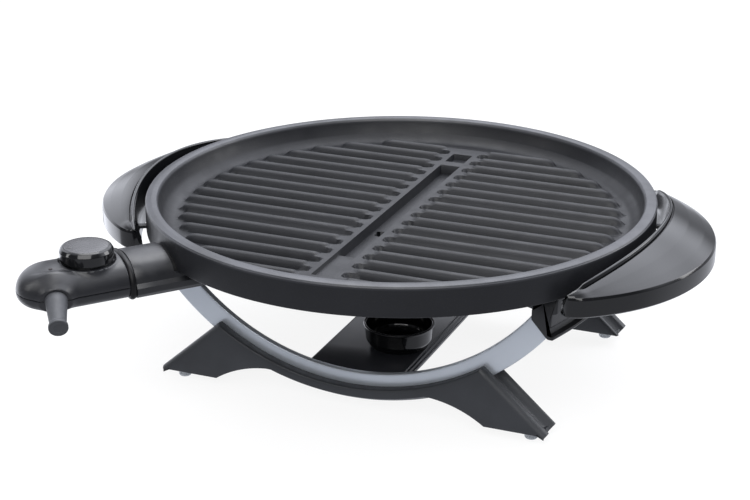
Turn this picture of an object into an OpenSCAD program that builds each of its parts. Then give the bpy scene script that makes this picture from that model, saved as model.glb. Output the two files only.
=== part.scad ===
// Round tabletop electric grill: ribbed cast plate on a curved two-arch base,
// with a plug-in temperature controller and a loose drip cup.
// Z is up and the table is z = 0. The plate's axis is the Z axis and -Y is the front.

/* [Grill plate] */
// Outside diameter of the plate
plate_d = 422; // [420:0.5:423]
// Height of the rim above the table
rim_z = 150; // [149:0.5:151]
// Height of the outer skirt
skirt_h = 25; // [23:0.5:26]
// Distance from one rib to the next
rib_pitch = 20.5; // [19:0.5:21]
// Width of one rib
rib_w = 10; // [8:0.5:11]
// Half width of the fat channel
channel_half_w = 8.5; // [7:0.5:9]
// Radius of the drain hole
drain_r = 6; // [4:0.5:6]

/* [Handles] */
// Radius of the handle's outer edge
handle_r = 150; // [148:0.5:151]
// Distance from the plate's axis to the centre of that edge
handle_offset = 112; // [111:0.5:113]
// Height of the bead at the middle of the handle
bead_z = 151.5; // [149:0.5:153]
// Half of the angle that a handle spans
handle_half_angle = 34.5; // [30:0.5:35]

/* [Controller] */
// Direction in which the controller leaves the plate
controller_dir = 230; // [228:1:232]
// Half width of the controller housing
housing_half_w = 28.5; // [28:0.5:30]
// Height of the top of the housing
housing_top_z = 139.5; // [139:0.5:141]
// Diameter of the control knob
knob_d = 42; // [38:1:44]
// Height of the control knob
knob_h = 13; // [11:0.5:14]
// Distance from the plate's axis to the knob's axis
knob_s = 274; // [273:0.5:276]

/* [Base] */
// Inner radius of the arches
arch_in_r = 190.4; // [189:0.2:191]
// Width of the arch band
arch_band_w = 20; // [18:0.5:20]
// Height of the centre of the arches
arch_centre_z = 221.3; // [220:0.1:222]
// Distance from the middle to the centre of each arch band
arch_y = 106; // [105:0.5:107]
// Half width of the bridge's raised top
bridge_half_w = 40; // [38:0.5:41]
// Height of the bridge's top
bridge_top_z = 30; // [29:0.5:30]
// Diameter of a foot pad
foot_d = 11; // [9:0.5:13]

/* [Drip cup] */
// Diameter of the cup's rim
cup_d = 59; // [56:0.5:60]
// Height of the cup
cup_h = 21; // [18:0.5:24]
// Sideways place of the cup
cup_x = 16; // [14:0.5:17]

/* [Hidden] */
$fn = 96;

plate_r = plate_d / 2;
skirt_z = rim_z - skirt_h;
floor_z = 130;
plate_under_z = 122;
rib_reach = 185;
rib_start_x = 18 + rib_w / 2;
rib_count_side = 8;
channel_front_y = -162;
channel_back_y = 118;
channel_floor_z = 125.5;
channel_plateau_z = 131;
channel_curb_z = 134;
drain_y = -43;
lug_x = 143;
lug_y = 60;

element_r = 125;
element_tube_r = 4;
element_bend_r = 12;
element_lap = 0.8;
element_step = 0.1;
element_z = plate_under_z - element_tube_r;
clamp_angles = [controller_dir + 60, controller_dir + 180, controller_dir - 60];
clamp_len = 34;
clamp_w = 12;
clamp_h = 9;
clamp_screw_offset = 12;
small_screw_r = 2;

pin_w = 12;
pin_r = 2.5;
pin_end_s = 240;
shroud_start_s = 184;
shroud_end_s = 244.5;
shroud_wall = 2.5;
shroud_half_w = 26.5;
ledge_half_w = 29;
ledge_z = 120.5;
shroud_bottom_z = 109;
probe_z = 117;
probe_r = 2.9;
probe_start_s = 156;

peg_front_angle = 29.5;
peg_rear_angle = 15;
peg_z = 128;
peg_r = 2.2;
peg_start_r = 204;
peg_end_r = 222;
handle_gap_r = 214.8;
bead_r = 223.5;
handle_under_z = 115.3;
handle_edge_z = 132;
bead_arc_r = 560;
handle_steps = 30;

nose_start_s = 214;
contact_end_s = 262;
nose_gap = 0.6;
collar_end_s = 250;
housing_round_s = 302;
housing_bottom_z = 109.8;
housing_shoulder_r = 18;
housing_corner_r = 9;
housing_wall = 2.2;
seam_z = 120;
knob_seat_z = 136.6;
knob_seat_h = 4.5;
knob_seat_r = knob_d / 2 + 1.5;
knob_under_z = knob_seat_z + 0.4;
spindle_r = 3;
relief_pos = [308.7, 27, 120.3];
relief_yaw = 73.5;
relief_pitch = 15.7;
relief_len = 33;
relief_mouth_r = 8.75;
relief_end_r = 6.5;
cord_r = 3.6;
case_screw_places = [[266, 19.5], [266, -19.5], [318, -8]];
case_screw_r = 1.5;
case_screw_len = 20;
case_head_h = 1.6;
switch_s = 264;
switch_size = [20, 20, 15];
block_s = 288;
block_size = [13, 20, 10];
lamp_s = 305.5;
lamp_w = 7.4;
lamp_r = 1.6;

arch_out_r = arch_in_r + arch_band_w;
arch_t = 6;
arch_clip_x = 163.5;
strip_in_r = 200;
strip_out_r = arch_out_r + 1.6;
strip_face_r = arch_out_r - 2.9;
frame_front_y = 118;
frame_back_y = 90;
frame_half_x = 113;
leg_bottom_z = 8;
leg_top_z = 57.6;
leg_toe_x = 168;
leg_arc_centre = [63, -68.5];
leg_arc_r = 93.4;
fit_gap = 0.05;

rail_in_x = 149;
rail_bow_r = 359;
rail_mid_x = 180;
rail_bottom_z = 87;
rail_step_z = 109;
rail_top_z = plate_under_z;
rail_end_y = 111;
rail_flange = 8.5;
rail_wall = 3;
arch_screw_x = 156;
arch_screw_y = 109;
arch_screw_z = 104;
arch_screw_r = 1.8;
arch_screw_len = 15;

bridge_flange_half_w = 44;
bridge_flange_z = 26.5;
bridge_under_z = 23;
bridge_wall = 2;
bridge_screw_x = 30;
bridge_screw_y = 96.5;
foot_x = 152;
foot_y = 105;
foot_sink = 2;

cup_wall = 1.6;
cup_base_r = 20;
cup_shoulder_z = 7;
cup_y = drain_y;

// Turns a piece so that its X runs outward along the controller
module along_controller() {
    rotate([0, 0, controller_dir]) children();
}

// Extrudes a width and height profile along the controller, from one distance to another
module run_out(from_s, to_s) {
    along_controller()
        translate([from_s, 0, 0])
            rotate([90, 0, 90])
                linear_extrude(to_s - from_s) children();
}

// A round bar along the controller
module run_bar(from_s, to_s, side, height, radius) {
    along_controller()
        translate([from_s, side, height])
            rotate([0, 90, 0])
                cylinder(r = radius, h = to_s - from_s);
}

function arc_points(centre, radius, from_a, to_a, steps) =
    [for (i = [0 : steps])
        let (a = from_a + (to_a - from_a) * i / steps)
        [centre[0] + radius * cos(a), centre[1] + radius * sin(a)]];

// Right half of a domed section: rounded bottom corner, upright side, soft shoulder, flat arc on top
function dome_half(half_w, top_z, bottom_z, shoulder_r, corner_r) =
    let (
        side_z = top_z - shoulder_r - 2,
        inner_w = half_w - shoulder_r,
        rise = top_z - side_z,
        crown_r = (inner_w * inner_w + rise * rise - shoulder_r * shoulder_r) / (2 * (rise - shoulder_r)),
        meet_a = atan2(side_z - top_z + crown_r, inner_w)
    )
    concat(
        [[0, bottom_z]],
        arc_points([half_w - corner_r, bottom_z + corner_r], corner_r, -90, 0, 6),
        arc_points([inner_w, side_z], shoulder_r, 0, meet_a, 9),
        arc_points([0, top_z - crown_r], crown_r, meet_a, 90, 6)
    );

module dome_section(half_w, top_z, bottom_z, shoulder_r, corner_r) {
    half = dome_half(half_w, top_z, bottom_z, shoulder_r, corner_r);
    polygon(concat(half, [for (i = [len(half) - 2 : -1 : 1]) [-half[i][0], half[i][1]]]));
}

// Section of the plate from the axis to the skirt
module plate_section() {
    lip_in_r = plate_r - 8.5;
    wall_foot_r = plate_r - 12;
    margin_r = rib_reach + 2;
    polygon(concat(
        [[0, plate_under_z], [0, floor_z], [margin_r, floor_z]],
        [for (t = [0.25 : 0.25 : 1])
            [margin_r + (wall_foot_r - margin_r) * t, floor_z + 7 * t * t]],
        [[lip_in_r, rim_z - 1]],
        arc_points([lip_in_r + 1.2, rim_z - 1.2], 1.2, 160, 90, 3),
        arc_points([plate_r - 1.5, rim_z - 1.5], 1.5, 90, 0, 4),
        [[plate_r, skirt_z], [plate_r - 8, skirt_z], [plate_r - 11, plate_under_z]]
    ));
}

// One rib: a round-topped bar with round ends, half sunk in the floor
module rib(k) {
    y = k * rib_pitch;
    end_x = sqrt(rib_reach * rib_reach - y * y) - rib_w / 2;
    translate([rib_start_x, y, floor_z + 1]) {
        rotate([0, 90, 0]) cylinder(r = rib_w / 2, h = end_x - rib_start_x);
        sphere(r = rib_w / 2);
        translate([end_x - rib_start_x, 0, 0]) sphere(r = rib_w / 2);
    }
}

module grill_plate() {
    curb_half_w = channel_half_w + 5.5;
    spout_h = 18;
    pocket_y = channel_back_y + 12;
    pocket_len = 22;
    color("#3b3d41")
    difference() {
        union() {
            rotate_extrude() plate_section();
            for (side = [0, 1], k = [-rib_count_side : rib_count_side])
                mirror([side, 0, 0]) rib(k);
            translate([-curb_half_w, channel_front_y - 6, plate_under_z])
                cube([2 * curb_half_w, 2 * -channel_front_y + 12, channel_curb_z - plate_under_z]);
            translate([0, drain_y, plate_under_z - spout_h])
                cylinder(r = drain_r + 2, h = spout_h + 1);
            for (x = [-lug_x, lug_x], y = [-lug_y, lug_y])
                translate([x, y, plate_under_z - 7]) cylinder(r = 4, h = 8);
        }
        translate([-channel_half_w, channel_front_y, channel_plateau_z])
            cube([2 * channel_half_w, channel_back_y - channel_front_y, 10]);
        translate([-channel_half_w, channel_front_y + 50, channel_floor_z])
            cube([2 * channel_half_w, channel_back_y - channel_front_y - 50, 10]);
        translate([-channel_half_w, pocket_y, floor_z - 1])
            cube([2 * channel_half_w, pocket_len, 10]);
        translate([0, drain_y, plate_under_z - spout_h - 1])
            cylinder(r = drain_r, h = spout_h + 10);
        handle_peg_places() cylinder(r = peg_r, h = plate_r - peg_start_r + 1);
        clamp_screw_places() translate([0, 0, plate_under_z - 1]) cylinder(r = small_screw_r, h = 6);
    }
}

module handle_peg_places() {
    for (a = [peg_rear_angle, -peg_front_angle, 180 - peg_rear_angle, 180 + peg_front_angle])
        rotate([0, 0, a])
            translate([peg_start_r, 0, peg_z])
                rotate([0, 90, 0]) children();
}

module clamp_screw_places() {
    for (a = clamp_angles, side = [-1, 1])
        rotate([0, 0, a])
            translate([element_r + side * clamp_screw_offset, 0, 0]) children();
}

// Tubular heater: a nearly closed ring whose two ends run out to the inlet
module heating_element() {
    bend_side = pin_w + element_bend_r;
    gap_a = asin(bend_side / (element_r + element_bend_r));
    bend_s = (element_r + element_bend_r) * cos(gap_a);
    lap_a = asin(element_lap / element_bend_r);
    color("#8a8c90") {
        rotate([0, 0, controller_dir + gap_a])
            translate([0, 0, element_z])
                rotate_extrude(angle = 360 - 2 * gap_a)
                    translate([element_r, 0]) circle(r = element_tube_r, $fn = 32);
        for (side = [-1, 1]) {
            along_controller()
                translate([bend_s, side * bend_side, element_z])
                    rotate([0, 0, side > 0 ? 180 + gap_a - lap_a : 90])
                        rotate_extrude(angle = 90 - gap_a + lap_a)
                            translate([element_bend_r, 0])
                                circle(r = element_tube_r - element_step, $fn = 32);
            run_bar(bend_s - element_lap, shroud_start_s, side * pin_w, element_z,
                element_tube_r - 2 * element_step);
        }
    }
}

// Saddles that hold the heater against the plate
module element_clamps() {
    color("#a7a9ad")
    difference() {
        for (a = clamp_angles)
            rotate([0, 0, a])
                translate([element_r - clamp_len / 2, -clamp_w / 2, plate_under_z - clamp_h])
                    cube([clamp_len, clamp_w, clamp_h]);
        translate([0, 0, element_z])
            rotate_extrude()
                translate([element_r, 0]) circle(r = element_tube_r + fit_gap, $fn = 32);
        difference() {
            translate([0, 0, element_z]) cylinder(r = element_r + element_tube_r + fit_gap, h = 5);
            translate([0, 0, element_z - 1]) cylinder(r = element_r - element_tube_r - fit_gap, h = 7);
        }
        clamp_screw_places() translate([0, 0, plate_under_z - clamp_h - 1])
            cylinder(r = small_screw_r, h = clamp_h + 2);
    }
}

module clamp_screws() {
    color("#c4c6c9")
    clamp_screw_places() {
        translate([0, 0, plate_under_z - clamp_h]) cylinder(r = small_screw_r, h = clamp_h + 4.5);
        translate([0, 0, plate_under_z - clamp_h - 2]) cylinder(r = 3.6, h = 2);
    }
}

// Fixed tube that takes the controller's nose, coped where it meets the plate
module inlet_shroud() {
    color("#3f4145")
    difference() {
        union() {
            run_out(shroud_start_s, shroud_end_s)
                dome_section(shroud_half_w, housing_top_z, shroud_bottom_z + 2, housing_shoulder_r, 6);
            run_out(shroud_start_s, shroud_end_s)
                polygon([
                    [-ledge_half_w, ledge_z], [-shroud_half_w, ledge_z + 4], [shroud_half_w, ledge_z + 4],
                    [ledge_half_w, ledge_z], [ledge_half_w, shroud_bottom_z + 4],
                    [ledge_half_w - 4, shroud_bottom_z], [4 - ledge_half_w, shroud_bottom_z],
                    [-ledge_half_w, shroud_bottom_z + 4]
                ]);
        }
        run_out(shroud_start_s + 3, shroud_end_s + 1)
            dome_section(shroud_half_w - shroud_wall, housing_top_z - shroud_wall,
                shroud_bottom_z + 2.4, housing_shoulder_r - shroud_wall, 5);
        translate([0, 0, plate_under_z])
            cylinder(r = plate_r, h = 30, $fn = 180);
        for (side = [-1, 1])
            run_bar(shroud_start_s - 1, shroud_start_s + 4, side * pin_w, element_z, pin_r);
        run_bar(shroud_start_s - 1, shroud_start_s + 4, 0, probe_z, probe_r + 0.4);
    }
}

module terminal_pins() {
    color("#d4d0c4")
    for (side = [-1, 1]) {
        run_bar(shroud_start_s, pin_end_s - 2, side * pin_w, element_z, pin_r);
        along_controller()
            translate([pin_end_s - 2, side * pin_w, element_z])
                rotate([0, 90, 0]) cylinder(r1 = pin_r, r2 = pin_r - 1, h = 2);
    }
}

// Block under the plate with the blind hole that the sensing rod slides into
module probe_socket() {
    color("#96989c")
    difference() {
        run_out(probe_start_s - 6, shroud_start_s)
            translate([-7, probe_z - 7]) square([14, plate_under_z - probe_z + 7]);
        run_bar(probe_start_s - 4, shroud_start_s + 1, 0, probe_z, probe_r + 0.1);
    }
}

// Distance from the plate's axis to the handle's outer edge, in direction a
function handle_edge_r(a) =
    handle_offset * cos(a) + sqrt(handle_r * handle_r - pow(handle_offset * sin(a), 2));

// Height of the bead in direction a: it falls along a flat arc towards both ends
function bead_top(a) =
    bead_z - bead_arc_r + sqrt(bead_arc_r * bead_arc_r - pow(bead_r * sin(a), 2)) - 9 * pow(a / handle_half_angle, 6);

// Section of a handle in direction a: flared inner wall, bead, groove, sloping top, upright side
function handle_section(a) =
    let (edge_r = handle_edge_r(a), top = bead_top(a), f = min(1, (edge_r - bead_r) / 12))
    [
        [handle_gap_r, handle_under_z + 2],
        [handle_gap_r + 2, handle_under_z + 11],
        [bead_r - 2.9, top - 3],
        [bead_r - 1.7, top - 0.8],
        [bead_r, top],
        [bead_r + 1.7 * f, top - 0.9],
        [bead_r + 3 * f, top - 2.8],
        [bead_r + 4.2 * f, top - 2.5],
        [edge_r - 1.6, handle_edge_z + 0.4],
        [edge_r, handle_edge_z - 1],
        [edge_r, handle_under_z + 1.4],
        [edge_r - 1.4, handle_under_z],
        [handle_gap_r + 1.4, handle_under_z]
    ];

module handle_crescent() {
    n = len(handle_section(0));
    rings = [for (i = [0 : handle_steps]) -handle_half_angle + 2 * handle_half_angle * i / handle_steps];
    points = [for (a = rings, p = handle_section(a)) [p[0] * cos(a), p[0] * sin(a), p[1]]];
    sides = [
        for (i = [0 : handle_steps - 1], j = [0 : n - 1])
            let (k = (j + 1) % n)
            each [
                [i * n + j, i * n + k, (i + 1) * n + k],
                [i * n + j, (i + 1) * n + k, (i + 1) * n + j]
            ]
    ];
    first_cap = [for (j = [n - 1 : -1 : 0]) j];
    last_cap = [for (j = [0 : n - 1]) handle_steps * n + j];
    difference() {
        polyhedron(points = points, faces = concat(sides, [first_cap, last_cap]), convexity = 6);
        handle_peg_places() cylinder(r = peg_r, h = peg_end_r - peg_start_r);
    }
}

module left_handle() {
    color("#26272a") mirror([1, 0, 0]) handle_crescent();
}

module right_handle() {
    color("#26272a") handle_crescent();
}

module handle_pegs() {
    color("#6f7175") handle_peg_places() cylinder(r = peg_r, h = peg_end_r - peg_start_r);
}

// Front of the controller that slides into the shroud
module plug_nose() {
    inset = shroud_wall + nose_gap;
    color("#2a2b2e")
    difference() {
        run_out(nose_start_s, collar_end_s)
            dome_section(shroud_half_w - inset, housing_top_z - inset,
                shroud_bottom_z + 2.4 + nose_gap, housing_shoulder_r - inset, 4);
        for (side = [-1, 1])
            run_bar(nose_start_s - 1, collar_end_s + 1, side * pin_w, element_z, pin_r + 1.6);
        run_bar(nose_start_s - 1, collar_end_s + 1, 0, probe_z, probe_r);
    }
}

module collar_ring() {
    inset = shroud_wall + nose_gap;
    color("#151618")
    difference() {
        run_out(shroud_end_s, collar_end_s)
            dome_section(housing_half_w + 1.2, housing_top_z + 0.8, housing_bottom_z - 1.5, 19, 7);
        run_out(shroud_end_s - 1, collar_end_s + 1)
            dome_section(shroud_half_w - inset, housing_top_z - inset,
                shroud_bottom_z + 2.4 + nose_gap, housing_shoulder_r - inset, 4);
    }
}

// Housing as one body: a straight run with a half-round end
module housing_body(start_s, inset) {
    run_out(start_s, housing_round_s)
        dome_section(housing_half_w - inset, housing_top_z - inset, housing_bottom_z + inset,
            housing_shoulder_r - inset, housing_corner_r - inset);
    along_controller()
        translate([housing_round_s, 0, 0])
            rotate([0, 0, -90])
                rotate_extrude(angle = 180)
                    polygon(dome_half(housing_half_w - inset, housing_top_z - inset,
                        housing_bottom_z + inset, housing_shoulder_r - inset, housing_corner_r - inset));
}

// Places a piece at the cord sleeve's mouth, with Z pointing the way the cord leaves
module at_relief() {
    along_controller()
        translate(relief_pos)
            rotate([0, 0, relief_yaw])
                rotate([0, 90 + relief_pitch, 0]) children();
}

module at_knob() {
    along_controller() translate([knob_s, 0, 0]) children();
}

// The two half shells before they are parted at the seam
module housing_shell() {
    difference() {
        union() {
            housing_body(collar_end_s, 0);
            at_relief() translate([0, 0, -13]) cylinder(r1 = 16, r2 = 10.4, h = 14);
            at_knob() translate([0, 0, knob_seat_z - knob_seat_h]) cylinder(r = knob_seat_r, h = knob_seat_h);
        }
        difference() {
            housing_body(collar_end_s - 1, housing_wall);
            at_knob() translate([0, 0, knob_seat_z - knob_seat_h]) cylinder(r = knob_seat_r, h = knob_seat_h + 3);
            for (p = case_screw_places)
                along_controller() translate([p[0], p[1], housing_bottom_z]) cylinder(r = 3.5, h = 40);
        }
        at_relief() translate([0, 0, -16]) cylinder(r = relief_mouth_r + 0.3, h = 24);
        at_knob() translate([0, 0, knob_seat_z]) cylinder(r = knob_seat_r, h = 10);
        at_knob() translate([0, 0, seam_z]) cylinder(r = spindle_r + 0.1, h = 30);
        along_controller() translate([lamp_s, lamp_w, seam_z + 10]) cylinder(r = lamp_r, h = 20);
        for (p = case_screw_places)
            along_controller() translate([p[0], p[1], housing_bottom_z - 1]) {
                cylinder(r = case_screw_r, h = case_screw_len + 4);
                cylinder(r = 2 * case_screw_r, h = case_head_h + 1.4);
            }
    }
}

module upper_shell() {
    color("#37393c")
    intersection() {
        housing_shell();
        translate([0, 0, seam_z + 50]) cube([1000, 1000, 100], center = true);
    }
}

module lower_shell() {
    color("#2b2c2f")
    intersection() {
        housing_shell();
        translate([0, 0, seam_z - 50]) cube([1000, 1000, 100], center = true);
    }
}

// Spring sleeves that grip the two terminal pins
module contact_sockets() {
    color("#c9a96a")
    for (side = [-1, 1])
        difference() {
            run_bar(nose_start_s + 1, contact_end_s, side * pin_w, element_z, pin_r + 1.6);
            run_bar(nose_start_s, pin_end_s + 4, side * pin_w, element_z, pin_r + 0.1);
        }
}

module probe_rod() {
    color("#bcbec2") {
        run_bar(probe_start_s, switch_s, 0, probe_z, probe_r);
        along_controller() translate([probe_start_s, 0, probe_z]) sphere(r = probe_r, $fn = 32);
    }
}

module thermostat_switch() {
    color("#b9b3a4")
    along_controller()
        translate([switch_s, -switch_size[1] / 2, housing_bottom_z + housing_wall]) cube(switch_size);
}

module terminal_block() {
    color("#d8d4c8")
    along_controller()
        translate([block_s, -block_size[1] / 2, housing_bottom_z + housing_wall]) cube(block_size);
}

module indicator_lamp() {
    color("#6d2320")
    along_controller()
        translate([lamp_s, lamp_w, housing_top_z - 9]) {
            cylinder(r = lamp_r, h = 8.4);
            cylinder(r = lamp_r + 0.8, h = 4);
        }
}

// Rubber sleeve round the cord: tapered, with a flared end, and held inside by a flange
module strain_relief() {
    color("#55575a")
    at_relief()
        difference() {
            union() {
                translate([0, 0, -13]) cylinder(r = relief_mouth_r, h = 13);
                cylinder(r1 = relief_mouth_r, r2 = relief_end_r, h = relief_len - 4);
                translate([0, 0, relief_len - 5]) cylinder(r1 = relief_end_r, r2 = 7.5, h = 3);
                translate([0, 0, relief_len - 2]) cylinder(r = 7.5, h = 2);
            }
            translate([0, 0, -14]) cylinder(r = cord_r, h = relief_len + 16);
        }
}

module controller_screws() {
    color("#8e9093")
    for (p = case_screw_places)
        along_controller() translate([p[0], p[1], housing_bottom_z + 0.4]) {
            cylinder(r = 2 * case_screw_r - 0.2, h = case_head_h);
            cylinder(r = case_screw_r, h = case_screw_len);
        }
}

// Knob with a bevelled top edge and a recess for the cap
module control_knob() {
    r = knob_d / 2;
    color("#17181a")
    at_knob() translate([0, 0, knob_under_z])
        difference() {
            rotate_extrude()
                polygon(concat(
                    [[0, 0], [r - 0.6, 0], [r, 0.6], [r, knob_h - 3.2]],
                    arc_points([r - 2.6, knob_h - 2.6], 2.6, 0, 90, 6),
                    [[0, knob_h]]
                ));
            translate([0, 0, knob_h - 1.2]) cylinder(r = r - 3.2, h = 3);
            translate([0, 0, -1]) cylinder(r = spindle_r, h = knob_h - 2.4);
            difference() {
                translate([0, 0, -1]) cylinder(r = r - 3, h = knob_h - 3);
                translate([0, 0, -2]) cylinder(r = spindle_r + 2.5, h = knob_h);
            }
        }
}

module knob_cap() {
    color("#3c3d40")
    at_knob() translate([0, 0, knob_under_z + knob_h - 1.2]) cylinder(r = knob_d / 2 - 3.25, h = 1.3);
}

module knob_spindle() {
    spindle_z = housing_bottom_z + housing_wall + switch_size[2] + 0.2;
    color("#b4b6b9")
    at_knob() translate([0, 0, spindle_z])
        cylinder(r = spindle_r, h = knob_under_z + knob_h - 3.6 - spindle_z);
}

// Flat band bent along a circle, in an upright plane
module arch_band(in_r, out_r, from_y, to_y, half_x) {
    translate([0, to_y, 0])
        rotate([90, 0, 0])
            linear_extrude(to_y - from_y)
                intersection() {
                    translate([0, arch_centre_z])
                        difference() {
                            circle(r = out_r, $fn = 240);
                            circle(r = in_r, $fn = 240);
                        }
                    translate([-half_x, 0]) square([2 * half_x, 113]);
                }
}

// One arch, at the front for side -1 and at the rear for side 1
module arch(side) {
    color("#b9bec6")
    difference() {
        arch_band(arch_in_r, arch_out_r, side * arch_y - arch_t / 2, side * arch_y + arch_t / 2, arch_clip_x);
        arch_screw_places() cylinder(r = arch_screw_r, h = arch_screw_len + 1);
    }
}

module front_arch() arch(-1);

module rear_arch() arch(1);

module arch_screw_places() {
    for (side_x = [0, 1], side_y = [0, 1])
        mirror([side_x, 0, 0])
            mirror([0, side_y, 0])
                translate([arch_screw_x, -arch_screw_y, arch_screw_z])
                    rotate([-90, 0, 0]) children();
}

// Outline of a rail seen from above, out to a bowed edge
module rail_plan(grow) {
    intersection() {
        translate([rail_mid_x - rail_bow_r, 0]) circle(r = rail_bow_r + grow, $fn = 360);
        translate([rail_in_x, -rail_end_y]) square([60, 2 * rail_end_y]);
    }
}

// Side rail under the plate's edge: a bowed moulding with a wider flange on top
module side_rail() {
    pocket_half_y = arch_screw_y - arch_screw_len;
    difference() {
        union() {
            translate([0, 0, rail_bottom_z]) linear_extrude(rail_step_z - rail_bottom_z + 1) rail_plan(0);
            translate([0, 0, rail_step_z - 8]) linear_extrude(5) rail_plan(3.5);
            translate([0, 0, rail_step_z]) linear_extrude(rail_top_z - rail_step_z) rail_plan(rail_flange);
        }
        translate([rail_in_x, 0, rail_bottom_z])
            rotate([0, -42.7, 0])
                translate([-20, -rail_end_y - 1, -30]) cube([20 + 8.8, 2 * rail_end_y + 2, 60]);
        translate([0, 0, rail_bottom_z - 1])
            linear_extrude(rail_top_z - rail_wall - rail_bottom_z + 1)
                intersection() {
                    translate([rail_mid_x - rail_bow_r, 0]) circle(r = rail_bow_r - rail_wall, $fn = 360);
                    translate([rail_in_x + rail_wall, -pocket_half_y]) square([60, 2 * pocket_half_y]);
                }
        for (side = [-1, 1])
            arch_band(arch_in_r - fit_gap, arch_out_r + fit_gap,
                side * arch_y - arch_t / 2 - fit_gap, side * arch_y + arch_t / 2 + fit_gap,
                arch_clip_x + fit_gap);
        arch_screw_places() cylinder(r = arch_screw_r, h = arch_screw_len + 1);
    }
}

module left_side_rail() {
    color("#2c2d30") mirror([1, 0, 0]) side_rail();
}

module right_side_rail() {
    color("#2c2d30") side_rail();
}

module arch_screws() {
    color("#a9abae")
    arch_screw_places() {
        cylinder(r = arch_screw_r, h = arch_screw_len);
        translate([0, 0, arch_screw_len]) cylinder(r = 3.2, h = 2);
    }
}

// Moulding along the foot of an arch with two splayed legs
module leg_frame() {
    leg_outline = concat(
        arc_points(leg_arc_centre, leg_arc_r, 55.4, 89, 8),
        [[frame_half_x + 0.4, leg_top_z], [leg_toe_x, leg_bottom_z + 1.4], [leg_toe_x - 1.4, leg_bottom_z]]
    );
    difference() {
        union() {
            arch_band(strip_in_r, strip_face_r, -frame_front_y, -frame_back_y, frame_half_x);
            arch_band(strip_in_r, strip_out_r, -arch_y - arch_t / 2 - 2, -frame_back_y, frame_half_x);
            for (side = [0, 1])
                mirror([side, 0, 0])
                    translate([0, -frame_back_y, 0])
                        rotate([90, 0, 0])
                            linear_extrude(frame_front_y - frame_back_y) polygon(leg_outline);
        }
        arch_band(arch_in_r - 5, arch_out_r + fit_gap,
            -arch_y - arch_t / 2 - fit_gap, -arch_y + arch_t / 2 + fit_gap, 200);
        for (x = [-foot_x, foot_x])
            translate([x, -foot_y, leg_bottom_z - 1]) cylinder(r = foot_d / 2, h = foot_sink + 1);
        bridge_screw_places() {
            cylinder(r = 1.8, h = 40);
            cylinder(r = 3.5, h = 14.5);
        }
    }
}

module front_leg_frame() {
    color("#35363a") leg_frame();
}

module rear_leg_frame() {
    color("#35363a") mirror([0, 1, 0]) leg_frame();
}

module bridge_screw_places() {
    for (x = [-bridge_screw_x, bridge_screw_x], y = [-bridge_screw_y, bridge_screw_y])
        translate([x, y, 0]) children();
}

// Long cover between the two arches, which carries the drip cup
module bridge_plate() {
    half_y = arch_y - arch_t / 2 - 0.2;
    color("#2a2b2e")
    difference() {
        union() {
            translate([-bridge_half_w, -half_y, bridge_under_z])
                cube([2 * bridge_half_w, 2 * half_y, bridge_top_z - bridge_under_z]);
            translate([-bridge_half_w - 2, -half_y, bridge_under_z])
                cube([2 * bridge_half_w + 4, 2 * half_y, bridge_top_z - 1.5 - bridge_under_z]);
            translate([-bridge_flange_half_w, -half_y, bridge_under_z])
                cube([2 * bridge_flange_half_w, 2 * half_y, bridge_flange_z - bridge_under_z]);
        }
        translate([-bridge_flange_half_w + bridge_wall, -frame_back_y + 4, bridge_under_z - 1])
            cube([
                2 * (bridge_flange_half_w - bridge_wall), 2 * frame_back_y - 8,
                bridge_flange_z - bridge_wall - bridge_under_z + 1
            ]);
        for (side = [0, 1])
            mirror([0, side, 0])
                arch_band(strip_in_r, strip_out_r + 20, -frame_front_y, -frame_back_y + 0.2, frame_half_x);
        bridge_screw_places() cylinder(r = 1.8, h = 28.5);
    }
}

module bridge_screws() {
    color("#a9abae")
    bridge_screw_places() {
        translate([0, 0, 12]) cylinder(r = 3.3, h = 2.5);
        translate([0, 0, 14]) cylinder(r = 1.8, h = 14);
    }
}

// Clear rubber pad pressed into the bottom of a leg
module foot_pad(side_x, side_y) {
    color("#c9cbcc")
    translate([side_x * foot_x, side_y * foot_y, 0]) {
        translate([0, 0, 1]) cylinder(r = foot_d / 2, h = leg_bottom_z + foot_sink - 1);
        cylinder(r1 = foot_d / 2 - 1, r2 = foot_d / 2, h = 1);
    }
}

module front_left_foot() foot_pad(-1, -1);

module front_right_foot() foot_pad(1, -1);

module rear_left_foot() foot_pad(-1, 1);

module rear_right_foot() foot_pad(1, 1);

// Round cup with a rolled lip that stands loose on the bridge
module drip_cup() {
    rim_r = cup_d / 2;
    lip_r = 1.2;
    color("#1d1e20")
    translate([cup_x, cup_y, bridge_top_z])
        rotate_extrude() {
            polygon([
                [0, 0], [cup_base_r, 0], [cup_base_r + 4.5, 2], [rim_r - 2, cup_shoulder_z],
                [rim_r - lip_r, cup_h - lip_r], [rim_r - lip_r - cup_wall, cup_h - lip_r],
                [rim_r - 2 - cup_wall, cup_shoulder_z + 0.5], [cup_base_r + 4, 2 + cup_wall],
                [cup_base_r, cup_wall], [0, cup_wall]
            ]);
            translate([rim_r - lip_r, cup_h - lip_r]) circle(r = lip_r, $fn = 24);
        }
}

grill_plate();
heating_element();
element_clamps();
clamp_screws();
inlet_shroud();
terminal_pins();
probe_socket();
left_handle();
right_handle();
handle_pegs();
plug_nose();
collar_ring();
upper_shell();
lower_shell();
contact_sockets();
probe_rod();
thermostat_switch();
terminal_block();
indicator_lamp();
strain_relief();
controller_screws();
control_knob();
knob_cap();
knob_spindle();
front_arch();
rear_arch();
left_side_rail();
right_side_rail();
bridge_plate();
front_leg_frame();
rear_leg_frame();
front_left_foot();
front_right_foot();
rear_left_foot();
rear_right_foot();
bridge_screws();
arch_screws();
drip_cup();
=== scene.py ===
"""Looks of a round tabletop electric grill, built over its packed frame.

Lengths inside the shape functions are in millimetres and become metres when a mesh is made.
X runs to the right handle, -Y to the front arch and Z up; the table is z = 0.
"""

import math
from types import SimpleNamespace

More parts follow.
